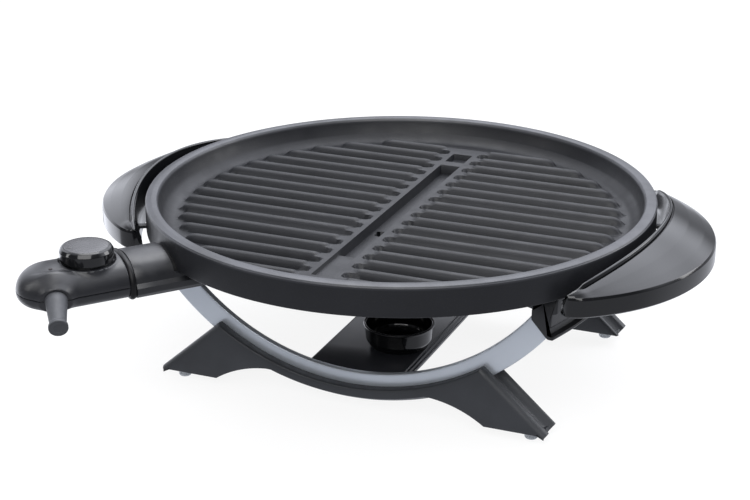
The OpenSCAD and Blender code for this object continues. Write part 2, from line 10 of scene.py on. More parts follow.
import bmesh
import bpy
import numpy as np
from bpy.props import FloatProperty, FloatVectorProperty, IntProperty, PointerProperty
from mathutils import Matrix, Vector


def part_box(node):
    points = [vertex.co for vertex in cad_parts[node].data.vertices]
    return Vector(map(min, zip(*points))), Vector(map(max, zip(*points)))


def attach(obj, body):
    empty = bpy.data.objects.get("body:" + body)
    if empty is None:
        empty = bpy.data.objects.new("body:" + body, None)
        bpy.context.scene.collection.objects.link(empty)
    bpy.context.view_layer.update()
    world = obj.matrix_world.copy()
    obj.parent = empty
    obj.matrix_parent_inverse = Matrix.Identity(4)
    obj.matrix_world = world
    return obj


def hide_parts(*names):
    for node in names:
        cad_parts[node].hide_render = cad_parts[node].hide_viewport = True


bl_info = {
    "name": "Tabletop Electric Grill",
    "version": (1, 0, 0),
    "blender": (4, 5, 0),
    "location": "View3D > Sidebar > Grill",
    "description": "Builds the visible pieces of a round tabletop electric grill over its frame",
    "category": "Add Mesh",
}

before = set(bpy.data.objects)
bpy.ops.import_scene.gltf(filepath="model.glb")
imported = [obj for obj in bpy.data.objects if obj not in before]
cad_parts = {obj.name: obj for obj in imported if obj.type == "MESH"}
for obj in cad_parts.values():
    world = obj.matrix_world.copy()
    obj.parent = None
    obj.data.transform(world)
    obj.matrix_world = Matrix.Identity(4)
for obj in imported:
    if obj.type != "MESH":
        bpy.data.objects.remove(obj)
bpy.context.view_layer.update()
MM = 0.001


def node_size(node, axis):
    """Length of a frame node along an axis, in metres."""
    low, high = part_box(node)
    return high[axis] - low[axis]


def node_low(node, axis):
    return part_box(node)[0][axis]


def node_high(node, axis):
    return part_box(node)[1][axis]


def length(name, description, default):
    """A length property in metres."""
    return FloatProperty(name=name, description=description, default=default, min=0.0, unit="LENGTH")


def angle(name, description, default):
    """An angle property, given in degrees."""
    return FloatProperty(name=name, description=description, default=math.radians(default), unit="ROTATION")


def colour(name, description, default):
    return FloatVectorProperty(
        name=name, description=description, default=default, size=3, min=0.0, max=1.0, subtype="COLOR"
    )


class GrillPlateSizes(bpy.types.PropertyGroup):
    """Sizes of the ribbed plate."""

    radius: length("Radius", "Outside radius of the plate", node_size("grill_plate", 0) / 2)
    rim_z: length("Rim height", "Height of the rim above the table", 0.150)
    skirt_z: length("Skirt height", "Height of the skirt's lower edge", 0.125)
    floor_z: length("Floor height", "Height of the valleys between the ribs", 0.130)
    under_z: length("Underside", "Height of the plate's underside", 0.122)
    floor_r: length("Floor radius", "Radius where the floor meets the inner wall", 0.198)
    rib_pitch: length("Rib pitch", "Distance from one rib to the next", 0.0205)
    rib_w: length("Rib width", "Width of one rib", 0.0108)
    rib_h: length("Rib height", "Height of a rib over the floor", 0.006)
    rib_reach: length("Rib reach", "Radius that the ribs' outer ends reach", 0.184)
    curb_h: length("Curb height", "Height of the strip beside the fat channel", 0.004)
    channel_w: length("Channel half width", "Half width of the fat channel", 0.0084)
    drain_r: length("Drain radius", "Radius of the drain hole", 0.006)
    drain_y: length("Drain place", "Distance of the drain hole in front of the middle", 0.043)


class GrillHandleSizes(bpy.types.PropertyGroup):
    """Sizes of the two crescent handles."""

    edge_r: length("Edge radius", "Radius of the outer edge", 0.150)
    edge_x: length("Edge centre", "Distance from the plate's axis to the edge's centre", 0.112)
    gap_r: length("Inner radius", "Radius of the inner wall at the bottom", 0.2148)
    bead_r: length("Bead radius", "Radius of the bead's middle line", 0.2216)
    bead_z: length("Bead height", "Height of the bead at the middle", 0.1515)
    under_z: length("Underside", "Height of the handle's underside", 0.1153)
    edge_z: length("Edge height", "Height of the outer edge", 0.1306)
    half_angle: angle("Half angle", "Half of the angle that a handle spans", 34.9)
    bead_angle: angle("Bead half angle", "Half of the angle that the bead spans", 32.5)


class GrillControllerSizes(bpy.types.PropertyGroup):
    """Sizes of the controller and of the shroud that takes it."""

    direction: angle("Direction", "Direction in which the controller leaves the plate", 230)
    half_w: length("Half width", "Half width of the housing", 0.0285)
    top_z: length("Top", "Height of the housing's top", 0.1395)
    under_z: length("Underside", "Height of the housing's underside", 0.1098)
    seam_z: length("Seam", "Height of the seam between the two shells", 0.120)
    housing_s: length("Housing start", "Distance from the plate's axis to the housing", 0.250)
    round_s: length("Round end", "Distance from the plate's axis to the centre of the round end", 0.302)
    wall: length("Wall", "Thickness of the shells", 0.0022)
    shroud_end_s: length("Shroud end", "Distance from the plate's axis to the shroud's mouth", 0.2445)
    knob_s: length("Knob place", "Distance from the plate's axis to the knob's axis", 0.274)
    knob_r: length("Knob radius", "Radius of the knob", node_size("control_knob", 0) / 2)
    knob_z: length("Knob underside", "Height of the knob's underside", node_low("control_knob", 2))
    knob_h: length("Knob height", "Height of the knob", node_size("control_knob", 2))
    sleeve_s: length("Sleeve place", "Distance of the cord sleeve's mouth from the plate's axis", 0.3087)
    sleeve_w: length("Sleeve offset", "Sideways place of the cord sleeve's mouth", 0.027)
    sleeve_z: length("Sleeve height", "Height of the cord sleeve's mouth", 0.1203)
    sleeve_yaw: angle("Sleeve yaw", "Turn of the sleeve from the controller's direction", 73.5)
    sleeve_pitch: angle("Sleeve pitch", "Angle by which the sleeve points down", 15.7)


class GrillBaseSizes(bpy.types.PropertyGroup):
    """Sizes of the arches, rails, legs, bridge, feet and cup."""

    arch_in_r: length("Arch inner radius", "Inner radius of the arch bands", 0.1904)
    arch_out_r: length("Arch outer radius", "Outer radius of the arch bands", 0.2104)
    arch_z: length("Arch centre", "Height of the centre of the arches", 0.2213)
    arch_y: length("Arch place", "Distance from the middle to an arch band", 0.106)
    strip_r: length("Strip radius", "Radius of the leg moulding's upper edge", 0.200)
    strip_out_r: length("Strip outer radius", "Radius of the leg moulding's lower edge", 0.212)
    leg_front_y: length("Leg front", "Distance from the middle to the leg moulding's front", 0.118)
    leg_back_y: length("Leg back", "Distance from the middle to the leg moulding's back", 0.090)
    leg_z: length("Leg underside", "Height of the legs' lower edge", 0.008)
    leg_toe_x: length("Leg toe", "Distance from the middle to a leg's toe", node_high("front_leg_frame", 0))
    rail_bow_r: length("Rail bow", "Radius of a rail's outer edge", 0.359)
    rail_x: length("Rail place", "Distance from the middle to a rail's outer edge", 0.180)
    rail_end_y: length("Rail end", "Distance from the middle to a rail's end", node_high("right_side_rail", 1))
    bridge_w: length("Bridge half width", "Half width of the bridge", node_size("bridge_plate", 0) / 2)
    bridge_y: length("Bridge end", "Distance from the middle to the bridge's end", node_high("bridge_plate", 1))
    bridge_z: length("Bridge top", "Height of the bridge's top", node_high("bridge_plate", 2))
    foot_r: length("Foot radius", "Radius of a foot pad", node_size("front_left_foot", 0) / 2)
    cup_r: length("Cup radius", "Radius of the drip cup's rim", node_size("drip_cup", 0) / 2)
    cup_base_r: length("Cup base radius", "Radius of the drip cup's foot", 0.020)
    cup_h: length("Cup height", "Height of the drip cup", node_size("drip_cup", 2))


class GrillColours(bpy.types.PropertyGroup):
    """Base colours of the finishes."""

    coating: colour("Plate coating", "Non-stick coating of the plate", (0.011, 0.0115, 0.0135))
    gloss: colour("Gloss plastic", "Handles, knob and cup", (0.0045, 0.0048, 0.0055))
    satin: colour("Satin plastic", "Controller housing, rails and bridge", (0.010, 0.0105, 0.0125))
    ring: colour("Collar plastic", "Collar between the controller and the shroud", (0.003, 0.003, 0.0035))
    charcoal: colour("Leg plastic", "Leg mouldings", (0.026, 0.028, 0.032))
    anodised: colour("Anodised metal", "Arch bands", (0.60, 0.64, 0.69))
    rubber: colour("Sleeve rubber", "Cord sleeve", (0.040, 0.042, 0.047))
    pad: colour("Foot pad", "Clear rubber of the foot pads", (0.62, 0.65, 0.68))
    cap: colour("Knob cap", "Top of the knob", (0.062, 0.062, 0.066))
    floor: colour("Floor", "Studio floor", (0.14, 0.14, 0.14))


class GrillStudioSettings(bpy.types.PropertyGroup):
    """Camera and studio."""

    camera_x: FloatProperty(name="Camera X", description="Place of the camera", default=0.5309, unit="LENGTH")
    camera_y: FloatProperty(name="Camera Y", description="Place of the camera", default=-1.3433, unit="LENGTH")
    camera_z: FloatProperty(name="Camera Z", description="Height of the camera", default=0.6584, unit="LENGTH")
    turn: angle("Turn", "Turn of the camera round the grill", 22.42)
    tilt: angle("Tilt", "Angle of the camera from straight down", 68.74)
    lens: FloatProperty(name="Lens", description="Focal length in millimetres", default=88.51, min=1.0)
    sky: FloatProperty(name="Sky strength", description="Strength of the studio sky", default=1.0, min=0.0)
    round_steps: IntProperty(name="Round steps", description="Steps round a turned piece", default=96, min=24)


GROUPS = {
    "grill_plate_sizes": GrillPlateSizes,
    "grill_handle_sizes": GrillHandleSizes,
    "grill_controller_sizes": GrillControllerSizes,
    "grill_base_sizes": GrillBaseSizes,
    "grill_colours": GrillColours,
    "grill_studio": GrillStudioSettings,
}


def in_mm(context, group_name):
    """The group's lengths in millimetres and its angles in radians."""
    group = getattr(context.scene, group_name)
    values = {}
    for key in group.__class__.__annotations__:
        unit = group.bl_rna.properties[key].unit
        value = getattr(group, key)
        values[key] = value / MM if unit == "LENGTH" else value
    return SimpleNamespace(**values)


# Curves and sections

def arc(centre_x, centre_y, radius, start, end, steps):
    """Points on an arc, with the angles in degrees."""
    angles = [math.radians(start + (end - start) * i / steps) for i in range(steps + 1)]
    return [(centre_x + radius * math.cos(a), centre_y + radius * math.sin(a)) for a in angles]


def rounded(corners, steps=4, closed=True):
    """Corners given as (x, y, radius), with each corner turned into an arc."""
    count = len(corners)
    points = []
    for i, (x, y, radius) in enumerate(corners):
        at_end = not closed and i in (0, count - 1)
        if radius <= 0 or at_end:
            points.append((x, y))
            continue
        corner = Vector((x, y))
        before = Vector(corners[i - 1][:2]) - corner
        after = Vector(corners[(i + 1) % count][:2]) - corner
        half = before.angle(after) / 2
        if half > math.radians(88):
            reach = min(radius, before.length, after.length) * 0.1
            for k in range(steps + 1):
                share = 1 - 2 * k / steps
                leg = before if share > 0 else after
                points.append(tuple(corner + leg.normalized() * reach * abs(share)))
            continue
        reach = min(radius / math.tan(half), before.length * 0.48, after.length * 0.48)
        radius = reach * math.tan(half)
        centre = corner + (before.normalized() + after.normalized()).normalized() * radius / math.sin(half)
        start = corner + before.normalized() * reach - centre
        turn = start.angle_signed(corner + after.normalized() * reach - centre)
        for k in range(steps + 1):
            a = -turn * k / steps
            spun = Vector((start.x * math.cos(a) - start.y * math.sin(a),
                           start.x * math.sin(a) + start.y * math.cos(a)))
            points.append(tuple(centre + spun))
    return points


def inset(outline, distance):
    """A closed outline moved inward by a distance."""
    points = np.array(outline)
    before = points - np.roll(points, 1, axis=0)
    after = np.roll(points, -1, axis=0) - points
    before /= np.linalg.norm(before, axis=1)[:, None]
    after /= np.linalg.norm(after, axis=1)[:, None]
    area = np.sum(points[:, 0] * np.roll(points[:, 1], -1) - points[:, 1] * np.roll(points[:, 0], -1))
    side = 1.0 if area > 0 else -1.0
    normal = np.stack([-(before + after)[:, 1], (before + after)[:, 0]], axis=1) * side
    normal /= np.linalg.norm(normal, axis=1)[:, None]
    lean = np.sum(normal * np.stack([-before[:, 1], before[:, 0]], axis=1) * side, axis=1)
    return (points + normal * (distance / np.maximum(lean, 0.5))[:, None]).tolist()


def smooth_step(t):
    """An even rise from 0 to 1, flat at both ends."""
    t = np.clip(t, 0.0, 1.0)
    return t * t * (3.0 - 2.0 * t)


def dome_half(half_w, top_z, bottom_z, shoulder_r, corner_r):
    """Right half of a domed section, from the bottom middle to the top middle."""
    side_z = top_z - shoulder_r - 2
    inner_w = half_w - shoulder_r
    rise = top_z - side_z
    crown_r = (inner_w ** 2 + rise ** 2 - shoulder_r ** 2) / (2 * (rise - shoulder_r))
    meet = math.degrees(math.atan2(side_z - top_z + crown_r, inner_w))
    points = [(0.0, bottom_z)]
    points += arc(half_w - corner_r, bottom_z + corner_r, corner_r, -90, 0, 8)
    points += arc(inner_w, side_z, shoulder_r, 0, meet, 12)
    points += arc(0, top_z - crown_r, crown_r, meet, 90, 8)[1:]
    return points


def dome_section(half_w, top_z, bottom_z, shoulder_r, corner_r):
    """A closed domed section."""
    half = dome_half(half_w, top_z, bottom_z, shoulder_r, corner_r)
    return half + [(-w, z) for w, z in reversed(half[1:-1])]


# Meshes

def loft(rings, closed_ring=True, caps=True):
    """Vertices and faces of a skin over rings that have equal numbers of points."""
    count = len(rings[0])
    if any(len(ring) != count for ring in rings):
        raise ValueError("rings of a skin differ in their number of points")
    vertices = [tuple(p) for ring in rings for p in ring]
    spans = count if closed_ring else count - 1
    faces = []
    for i in range(len(rings) - 1):
        for j in range(spans):
            k = (j + 1) % count
            faces.append((i * count + j, i * count + k, (i + 1) * count + k, (i + 1) * count + j))
    if caps:
        faces.append(tuple(reversed(range(count))))
        last = (len(rings) - 1) * count
        faces.append(tuple(range(last, last + count)))
    return vertices, faces


def turned(profile, steps, centre=(0.0, 0.0)):
    """Vertices and faces of a closed profile of (radius, height) turned about an upright axis."""
    rings = []
    for i in range(steps + 1):
        a = 2 * math.pi * i / steps
        rings.append([(centre[0] + r * math.cos(a), centre[1] + r * math.sin(a), z) for r, z in profile])
    return loft(rings, closed_ring=profile[0][0] > 0 or profile[-1][0] > 0, caps=False)


def joined(*parts):
    """One list of vertices and faces from several."""
    vertices = []
    faces = []
    for part_vertices, part_faces in parts:
        start = len(vertices)
        vertices += part_vertices
        faces += [tuple(start + i for i in face) for face in part_faces]
    return vertices, faces


def mirrored(part, axis):
    """The part mirrored through the middle plane of an axis."""
    vertices = [tuple(-c if i == axis else c for i, c in enumerate(v)) for v in part[0]]
    return vertices, [tuple(reversed(face)) for face in part[1]]


def placed(part, matrix):
    """The part moved by a matrix in millimetres."""
    return [tuple(matrix @ Vector(v)) for v in part[0]], part[1]


def make_mesh(name, part, crease=32):
    """A welded, smooth-shaded mesh in metres, with edges over the crease angle kept sharp."""
    vertices, faces = part
    mesh = bpy.data.meshes.new(name)
    mesh.from_pydata((np.array(vertices) * MM).tolist(), [], faces)
    bm = bmesh.new()
    bm.from_mesh(mesh)
    bmesh.ops.remove_doubles(bm, verts=bm.verts, dist=2e-6)
    bmesh.ops.dissolve_degenerate(bm, edges=bm.edges, dist=1e-7)
    bmesh.ops.recalc_face_normals(bm, faces=bm.faces)
    bm.to_mesh(mesh)
    bm.free()
    mesh.polygons.foreach_set("use_smooth", [True] * len(mesh.polygons))
    mesh.set_sharp_from_angle(angle=math.radians(crease))
    return mesh


def add_piece(name, part, finish, body, nodes, crease=32):
    """Makes an object of a part, gives it its finish, and lets it ride on its body."""
    piece = bpy.data.objects.new(name, make_mesh(name, part, crease))
    bpy.context.scene.collection.objects.link(piece)
    piece.data.materials.append(finish_named(finish))
    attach(piece, body)
    if nodes:
        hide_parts(*nodes)
    return piece


def add_pair(names, nodes, part, axis, finish, body, crease):
    """Adds a part and its mirror image."""
    for name, node, shape in zip(names, nodes, (part, mirrored(part, axis))):
        add_piece(name, shape, finish, body, [node], crease)


def dress_node(node, finish):
    """Gives a frame node that stays visible a detailed finish."""
    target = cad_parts[node]
    slots = target.data.materials
    if len(slots) == 0:
        slots.append(None)
    for i in range(len(slots)):
        slots[i] = finish_named(finish)


def controller_matrix(sizes):
    """Turns distance, offset and height along the controller into place."""
    return Matrix.Rotation(sizes.direction, 4, "Z")


# Finishes

class Finish:
    """A material under construction; each step returns the finish, so that steps follow each other."""

    def __init__(self, name, base, roughness, metallic=0.0):
        self.material = bpy.data.materials.new(name)
        self.material.use_nodes = True
        self.tree = self.material.node_tree
        self.shader = self.tree.nodes["Principled BSDF"]
        self.base = base
        self.having("Base Color", (*base, 1.0))
        self.having("Roughness", roughness)
        self.having("Metallic", metallic)
        self.place = self.tree.nodes.new("ShaderNodeTexCoord").outputs["Object"]

    def having(self, socket, value):
        """Sets a constant on one of the shader's sockets."""
        self.shader.inputs[socket].default_value = value
        return self

    def link(self, start, end):
        self.tree.links.new(start, end)

    def noise(self, scale, detail, stretch=(1.0, 1.0, 1.0)):
        """A noise field in object space, with its scale in cycles a metre."""
        mapping = self.tree.nodes.new("ShaderNodeMapping")
        mapping.inputs["Scale"].default_value = stretch
        self.link(self.place, mapping.inputs["Vector"])
        field = self.tree.nodes.new("ShaderNodeTexNoise")
        field.inputs["Scale"].default_value = scale
        field.inputs["Detail"].default_value = detail
        self.link(mapping.outputs["Vector"], field.inputs["Vector"])
        return field.outputs["Fac"]

    def height(self):
        """Height above the table at rest, in metres."""
        split = self.tree.nodes.new("ShaderNodeSeparateXYZ")
        self.link(self.place, split.inputs["Vector"])
        return split.outputs["Z"]

    def ramp(self, value, low, high, low_value=0.0, high_value=1.0):
        """Maps a value from one range to another, and keeps it inside."""
        return map_range(self.tree, value, low, high, low_value, high_value, "LINEAR")

    def blend(self, factor, other):
        """Blends the base colour towards another colour by a varying factor."""
        mix = self.tree.nodes.new("ShaderNodeMix")
        mix.data_type = "RGBA"
        socket = self.shader.inputs["Base Color"]
        if socket.is_linked:
            self.link(socket.links[0].from_socket, mix.inputs["A"])
        else:
            mix.inputs["A"].default_value = (*self.base, 1.0)
        mix.inputs["B"].default_value = (*other, 1.0)
        self.link(factor, mix.inputs["Factor"])
        self.link(mix.outputs["Result"], socket)
        return self

    def clouds(self, scale, detail, other, low=0.35, high=0.7, most=1.0):
        """Blends the base colour towards another colour in patches of noise."""
        return self.blend(self.ramp(self.noise(scale, detail), low, high, 0.0, most), other)

    def wear(self, scale, low, high, detail=3.0, stretch=(1.0, 1.0, 1.0)):
        """Varies the roughness between two values."""
        value = self.ramp(self.noise(scale, detail, stretch), 0.3, 0.7, low, high)
        self.link(value, self.shader.inputs["Roughness"])
        return self

    def grain(self, scale, distance, strength, detail=2.0, stretch=(1.0, 1.0, 1.0)):
        """Adds a bump of noise over those already there."""
        bump = self.tree.nodes.new("ShaderNodeBump")
        bump.inputs["Strength"].default_value = strength
        bump.inputs["Distance"].default_value = distance
        socket = self.shader.inputs["Normal"]
        if socket.is_linked:
            self.link(socket.links[0].from_socket, bump.inputs["Normal"])
        self.link(self.noise(scale, detail, stretch), bump.inputs["Height"])
        self.link(bump.outputs["Normal"], socket)
        return self


def map_range(tree, value, low, high, low_value, high_value, interpolation):
    """A node that maps a value from one range to another and keeps it inside."""
    change = tree.nodes.new("ShaderNodeMapRange")
    change.interpolation_type = interpolation
    change.inputs["From Min"].default_value = low
    change.inputs["From Max"].default_value = high
    change.inputs["To Min"].default_value = low_value
    change.inputs["To Max"].default_value = high_value
    tree.links.new(value, change.inputs["Value"])
    return change.outputs["Result"]


def shade(base, factor):
    return tuple(min(1.0, c * factor) for c in base)


LIP_LOW_Z = 0.1462
LIP_HIGH_Z = 0.1492


def cast_coating(colours):
    """Dark non-stick coating with fine grain and light flecks, shinier on the lip, with a painted sheen that
    lightens the lip's colour.
    """
    base = colours.coating
    finish = Finish("cast_coating", base, 0.42)
    height = finish.height()
    shine = finish.ramp(height, LIP_LOW_Z, LIP_HIGH_Z, 0.26, 0.62)
    finish.link(shine, finish.shader.inputs["Specular IOR Level"])
    # Painted sheen: the lip's base colour is lightened by height, on top of its real extra shine.
    finish.blend(finish.ramp(height, LIP_LOW_Z, LIP_HIGH_Z), shade(base, 4.0))
    finish.clouds(14, 4, shade(base, 1.35)).clouds(1500, 2, shade(base, 4.0), 0.66, 0.74, 0.55)
    return finish.wear(60, 0.36, 0.5).grain(1400, 0.00012, 0.35).grain(260, 0.0002, 0.2, 3)


def gloss_plastic(colours):
    """Black gloss plastic with faint sink ripples and fine dust."""
    finish = Finish("gloss_black_plastic", colours.gloss, 0.09)
    finish.clouds(900, 2, (0.10, 0.105, 0.11), 0.70, 0.76, 0.12)
    return finish.wear(35, 0.07, 0.14, 4).grain(22, 0.0006, 0.06)


def satin_plastic(colours):
    """Black satin plastic with a fine moulded grain."""
    finish = Finish("satin_black_plastic", colours.satin, 0.36).clouds(30, 4, shade(colours.satin, 1.3))
    return finish.wear(90, 0.31, 0.41).grain(2200, 0.00006, 0.3)


def painted_light_bridge_plastic(colours):
    """Satin plastic of the bridge, a little smoother, and painted paler than the other satin parts as painted
    light.
    """
    # Painted light: a paler copy of the satin plastic that stands in for the light falling on the bridge.
    finish = Finish("painted_light_bridge_plastic", shade(colours.satin, 2.4), 0.3).clouds(18, 3, shade(colours.satin, 3.0))
    return finish.wear(30, 0.28, 0.34).grain(2200, 0.00005, 0.25)


def collar_plastic(colours):
    """Dull black plastic of the collar and the plug's nose."""
    finish = Finish("collar_plastic", colours.ring, 0.4).having("Specular IOR Level", 0.25)
    return finish.wear(120, 0.34, 0.46).grain(1600, 0.00004, 0.3)


def charcoal_plastic(colours):
    """Matt charcoal plastic of the legs, with a spark-eroded grain."""
    finish = Finish("charcoal_plastic", colours.charcoal, 0.5).clouds(25, 4, shade(colours.charcoal, 1.3))
    return finish.wear(80, 0.44, 0.56).grain(1800, 0.0001, 0.4, 3)


def anodised_metal(colours):
    """Satin anodised aluminium with a very fine drawn grain."""
    finish = Finish("anodised_aluminium", colours.anodised, 0.32, 0.6).clouds(12, 3, shade(colours.anodised, 1.1))
    finish.wear(300, 0.28, 0.38, stretch=(0.3, 3.0, 1.0))
    return finish.grain(900, 0.00005, 0.25, 3, (0.4, 4.0, 1.0))


def sleeve_rubber(colours):
    """Grey rubber of the cord sleeve."""
    finish = Finish("sleeve_rubber", colours.rubber, 0.55).clouds(70, 4, shade(colours.rubber, 1.25))
    return finish.wear(200, 0.5, 0.64).grain(1500, 0.00012, 0.35, 3)


def sleeve_end_rubber(colours):
    """Duller rubber of the sleeve's closed end."""
    base = shade(colours.rubber, 0.95)
    finish = Finish("sleeve_end_rubber", base, 0.6).clouds(90, 4, shade(colours.rubber, 1.2))
    return finish.wear(200, 0.54, 0.68).grain(1500, 0.00012, 0.35, 3)


def pad_rubber(colours):
    """Milky clear rubber of the foot pads."""
    finish = Finish("clear_pad_rubber", colours.pad, 0.28).having("Transmission Weight", 0.35).having("IOR", 1.42)
    return finish.clouds(300, 3, shade(colours.pad, 0.85), 0.4).wear(400, 0.24, 0.36).grain(700, 0.0001, 0.2)


def cap_plastic(colours):
    """Satin grey plastic of the knob's top."""
    finish = Finish("knob_cap_plastic", colours.cap, 0.26).clouds(60, 3, shade(colours.cap, 1.2))
    return finish.wear(400, 0.22, 0.32).grain(1500, 0.00002, 0.12)


def peg_steel(_colours):
    """Blackened steel of the handles' pegs."""
    finish = Finish("blackened_peg_steel", (0.050, 0.051, 0.054), 0.38, 1.0)
    return finish.clouds(180, 4, (0.034, 0.035, 0.037), 0.4).wear(260, 0.32, 0.46).grain(1400, 0.00004, 0.3)


def zinc_steel(_colours):
    """Zinc-plated steel with soft clouds."""
    finish = Finish("zinc_plated_steel", (0.58, 0.59, 0.61), 0.3, 1.0)
    return finish.clouds(180, 4, (0.42, 0.43, 0.46), 0.4).wear(260, 0.24, 0.42).grain(1400, 0.00004, 0.3)


def heater_steel(_colours):
    """Heater tube: steel browned by heat."""
    finish = Finish("heater_tube_steel", (0.20, 0.19, 0.185), 0.5, 1.0)
    finish.clouds(28, 4, (0.15, 0.105, 0.075), 0.4, 0.65)
    return finish.wear(120, 0.4, 0.62, 4).grain(900, 0.00008, 0.4, 3)


def cast_aluminium(_colours):
    """Bare cast aluminium of the clamps and the probe's block."""
    finish = Finish("cast_aluminium", (0.50, 0.51, 0.52), 0.48, 1.0)
    return finish.clouds(90, 4, (0.36, 0.365, 0.37), 0.4).wear(200, 0.42, 0.6).grain(700, 0.0002, 0.5, 4)


def contact_brass(_colours):
    """Brass of the contact sockets."""
    finish = Finish("contact_brass", (0.62, 0.45, 0.20), 0.3, 1.0)
    return finish.clouds(220, 4, (0.40, 0.27, 0.12), 0.4).wear(300, 0.24, 0.42).grain(1200, 0.00004, 0.3)


def steatite(_colours):
    """Fired ceramic of the switch and the terminal block."""
    finish = Finish("fired_steatite", (0.56, 0.52, 0.44), 0.62)
    return finish.clouds(160, 4, (0.44, 0.40, 0.33), 0.4).wear(300, 0.55, 0.7).grain(1100, 0.00012, 0.5, 4)


def lamp_lens(_colours):
    """Unlit smoked lens of the indicator lamp."""
    finish = Finish("smoked_lens", (0.030, 0.020, 0.020), 0.12).having("Transmission Weight", 0.2)
    return finish.wear(500, 0.1, 0.18, 2).grain(900, 0.00005, 0.3)


FINISHES = {
    "coating": cast_coating, "gloss": gloss_plastic, "satin": satin_plastic, "bridge": painted_light_bridge_plastic,
    "collar": collar_plastic, "charcoal": charcoal_plastic, "anodised": anodised_metal, "sleeve": sleeve_rubber,
    "end": sleeve_end_rubber, "pad": pad_rubber, "cap": cap_plastic, "peg": peg_steel, "zinc": zinc_steel,
    "heater": heater_steel, "aluminium": cast_aluminium, "brass": contact_brass, "steatite": steatite,
    "lens": lamp_lens,
}
made_finishes = {}


def finish_named(name):
    """The material of that finish, made the first time it is asked for."""
    if name not in made_finishes:
        made_finishes[name] = FINISHES[name](bpy.context.scene.grill_colours).material
    return made_finishes[name]


# Plate

# Places on the plate's floor, in millimetres from the middle lines
RIB_START_X = 18
VALLEY_START_X = 19.4
CURB_EDGE_X = 27
CURB_END_Y = 172
CHANNEL_FRONT_Y = 163
CHANNEL_BACK_Y = 118.6
CHANNEL_SHALLOW_Y = 112
POCKET_START_Y = 130
POCKET_END_Y = 152
LAST_RIB = 8
MARGIN_RISE = 7.0


def plate_height(x, y, p):
    """Height of the plate's cooking surface at x and y."""
    radius = np.hypot(x, y)
    side = np.abs(x)
    margin = MARGIN_RISE * np.clip((radius - p.rib_reach - 2) / (p.floor_r - p.rib_reach - 2), 0, 1) ** 2

    rib = np.clip(np.round(y / p.rib_pitch), -LAST_RIB, LAST_RIB) * p.rib_pitch
    start = RIB_START_X + p.rib_w / 2
    reach = np.sqrt(p.rib_reach ** 2 - rib ** 2) - p.rib_w / 2
    along = np.where(side < start, start - side, np.clip(side - reach + 5, 0, None) * 0.5)
    away = np.hypot(along, y - rib) / (p.rib_w / 2)
    dome = p.rib_h * np.clip(1 - away ** 2, 0, 1) ** 0.6

    valley = (np.floor(y / p.rib_pitch) + 0.5) * p.rib_pitch
    valley_away = np.hypot(np.clip(VALLEY_START_X - side, 0, None), y - valley)
    in_valley = smooth_step((valley_away - 4.4) / 1.5)
    in_valley = np.where(np.abs(valley) > (LAST_RIB + 0.2) * p.rib_pitch, 1.0, in_valley)
    curb = p.curb_h * in_valley * smooth_step((CURB_EDGE_X - side) / 5)
    curb *= smooth_step((y + CURB_END_Y) / 4) * smooth_step((CURB_END_Y - y) / 4)

    height = p.floor_z + np.maximum(np.maximum(curb, dome), margin)

    across = 1 - smooth_step((side - p.channel_w + 0.5) / 1.0)
    channel = across * smooth_step((y + CHANNEL_FRONT_Y) / 1.6) * smooth_step((CHANNEL_BACK_Y - y) / 1.2)
    ramp = smooth_step((y + CHANNEL_SHALLOW_Y) / 7)
    bed = (p.floor_z + 1) * (1 - ramp) + (p.floor_z - 4.2) * ramp
    height = height * (1 - channel) + bed * channel
    pocket = across * smooth_step((y - POCKET_START_Y) / 1.6) * smooth_step((POCKET_END_Y - y) / 1.6)
    return height * (1 - pocket) + (p.floor_z - 1) * pocket


def plate_top(p, rows, outer_columns):
    """Cooking surface as rows from side to side, whose ends lie on the floor's circle."""
    middle = np.array([0, 3, 6, 7.9, 8.2, 8.5, 8.9, 10.5, 12, 13.5, 15, 16.5, 18, 19.5, 21, 22.5])
    turns = np.linspace(-math.pi / 2, math.pi / 2, rows)
    vertices = []
    for turn in turns:
        y = p.floor_r * math.sin(turn)
        reach = p.floor_r * math.cos(turn)
        fixed = middle * min(1.0, reach / 32)
        free = fixed[-1] + (reach - fixed[-1]) * np.linspace(0, 1, outer_columns + 1)[1:]
        half = np.concatenate([fixed, free])
        x = np.concatenate([-half[:0:-1], half])
        z = plate_height(x, np.full(len(x), y), p)
        vertices += [(float(a), float(y), float(b)) for a, b in zip(x, z)]
    count = len(x)
    faces = [
        (i * count + j, i * count + j + 1, (i + 1) * count + j + 1, (i + 1) * count + j)
        for i in range(rows - 1) for j in range(count - 1)
    ]
    return vertices, faces, turns


def plate_wall(p, turns):
    """Inner wall, lip, skirt and underside, turned at the angles where the floor's rows end."""
    outline = [
        (p.floor_r, p.floor_z + MARGIN_RISE, 0), (p.floor_r + 2.6, p.rim_z - 2.2, 2.0),
        (p.floor_r + 3.8, p.rim_z - 0.2, 1.2),
        (p.floor_r + 8, p.rim_z, 6), (p.radius - 0.9, p.rim_z - 0.5, 0.7), (p.radius - 0.45, p.rim_z - 1.5, 0.3),
        (p.radius, p.rim_z - 1.9, 0.3), (p.radius, p.skirt_z, 0.9), (p.radius - 7, p.skirt_z, 1.5),
        (p.radius - 11, p.under_z, 2)
    ]
    profile = rounded(outline + [(60, p.under_z, 0)], steps=4, closed=False)
    profile += [(r, p.under_z) for r in range(56, 26, -2)] + [(14, p.under_z), (0, p.under_z)]
    angles = list(turns) + [math.pi - t for t in reversed(turns[1:-1])]
    rings = [[(r * math.cos(a), r * math.sin(a), z) for r, z in profile] for a in angles + angles[:1]]
    return loft(rings, closed_ring=False, caps=False)


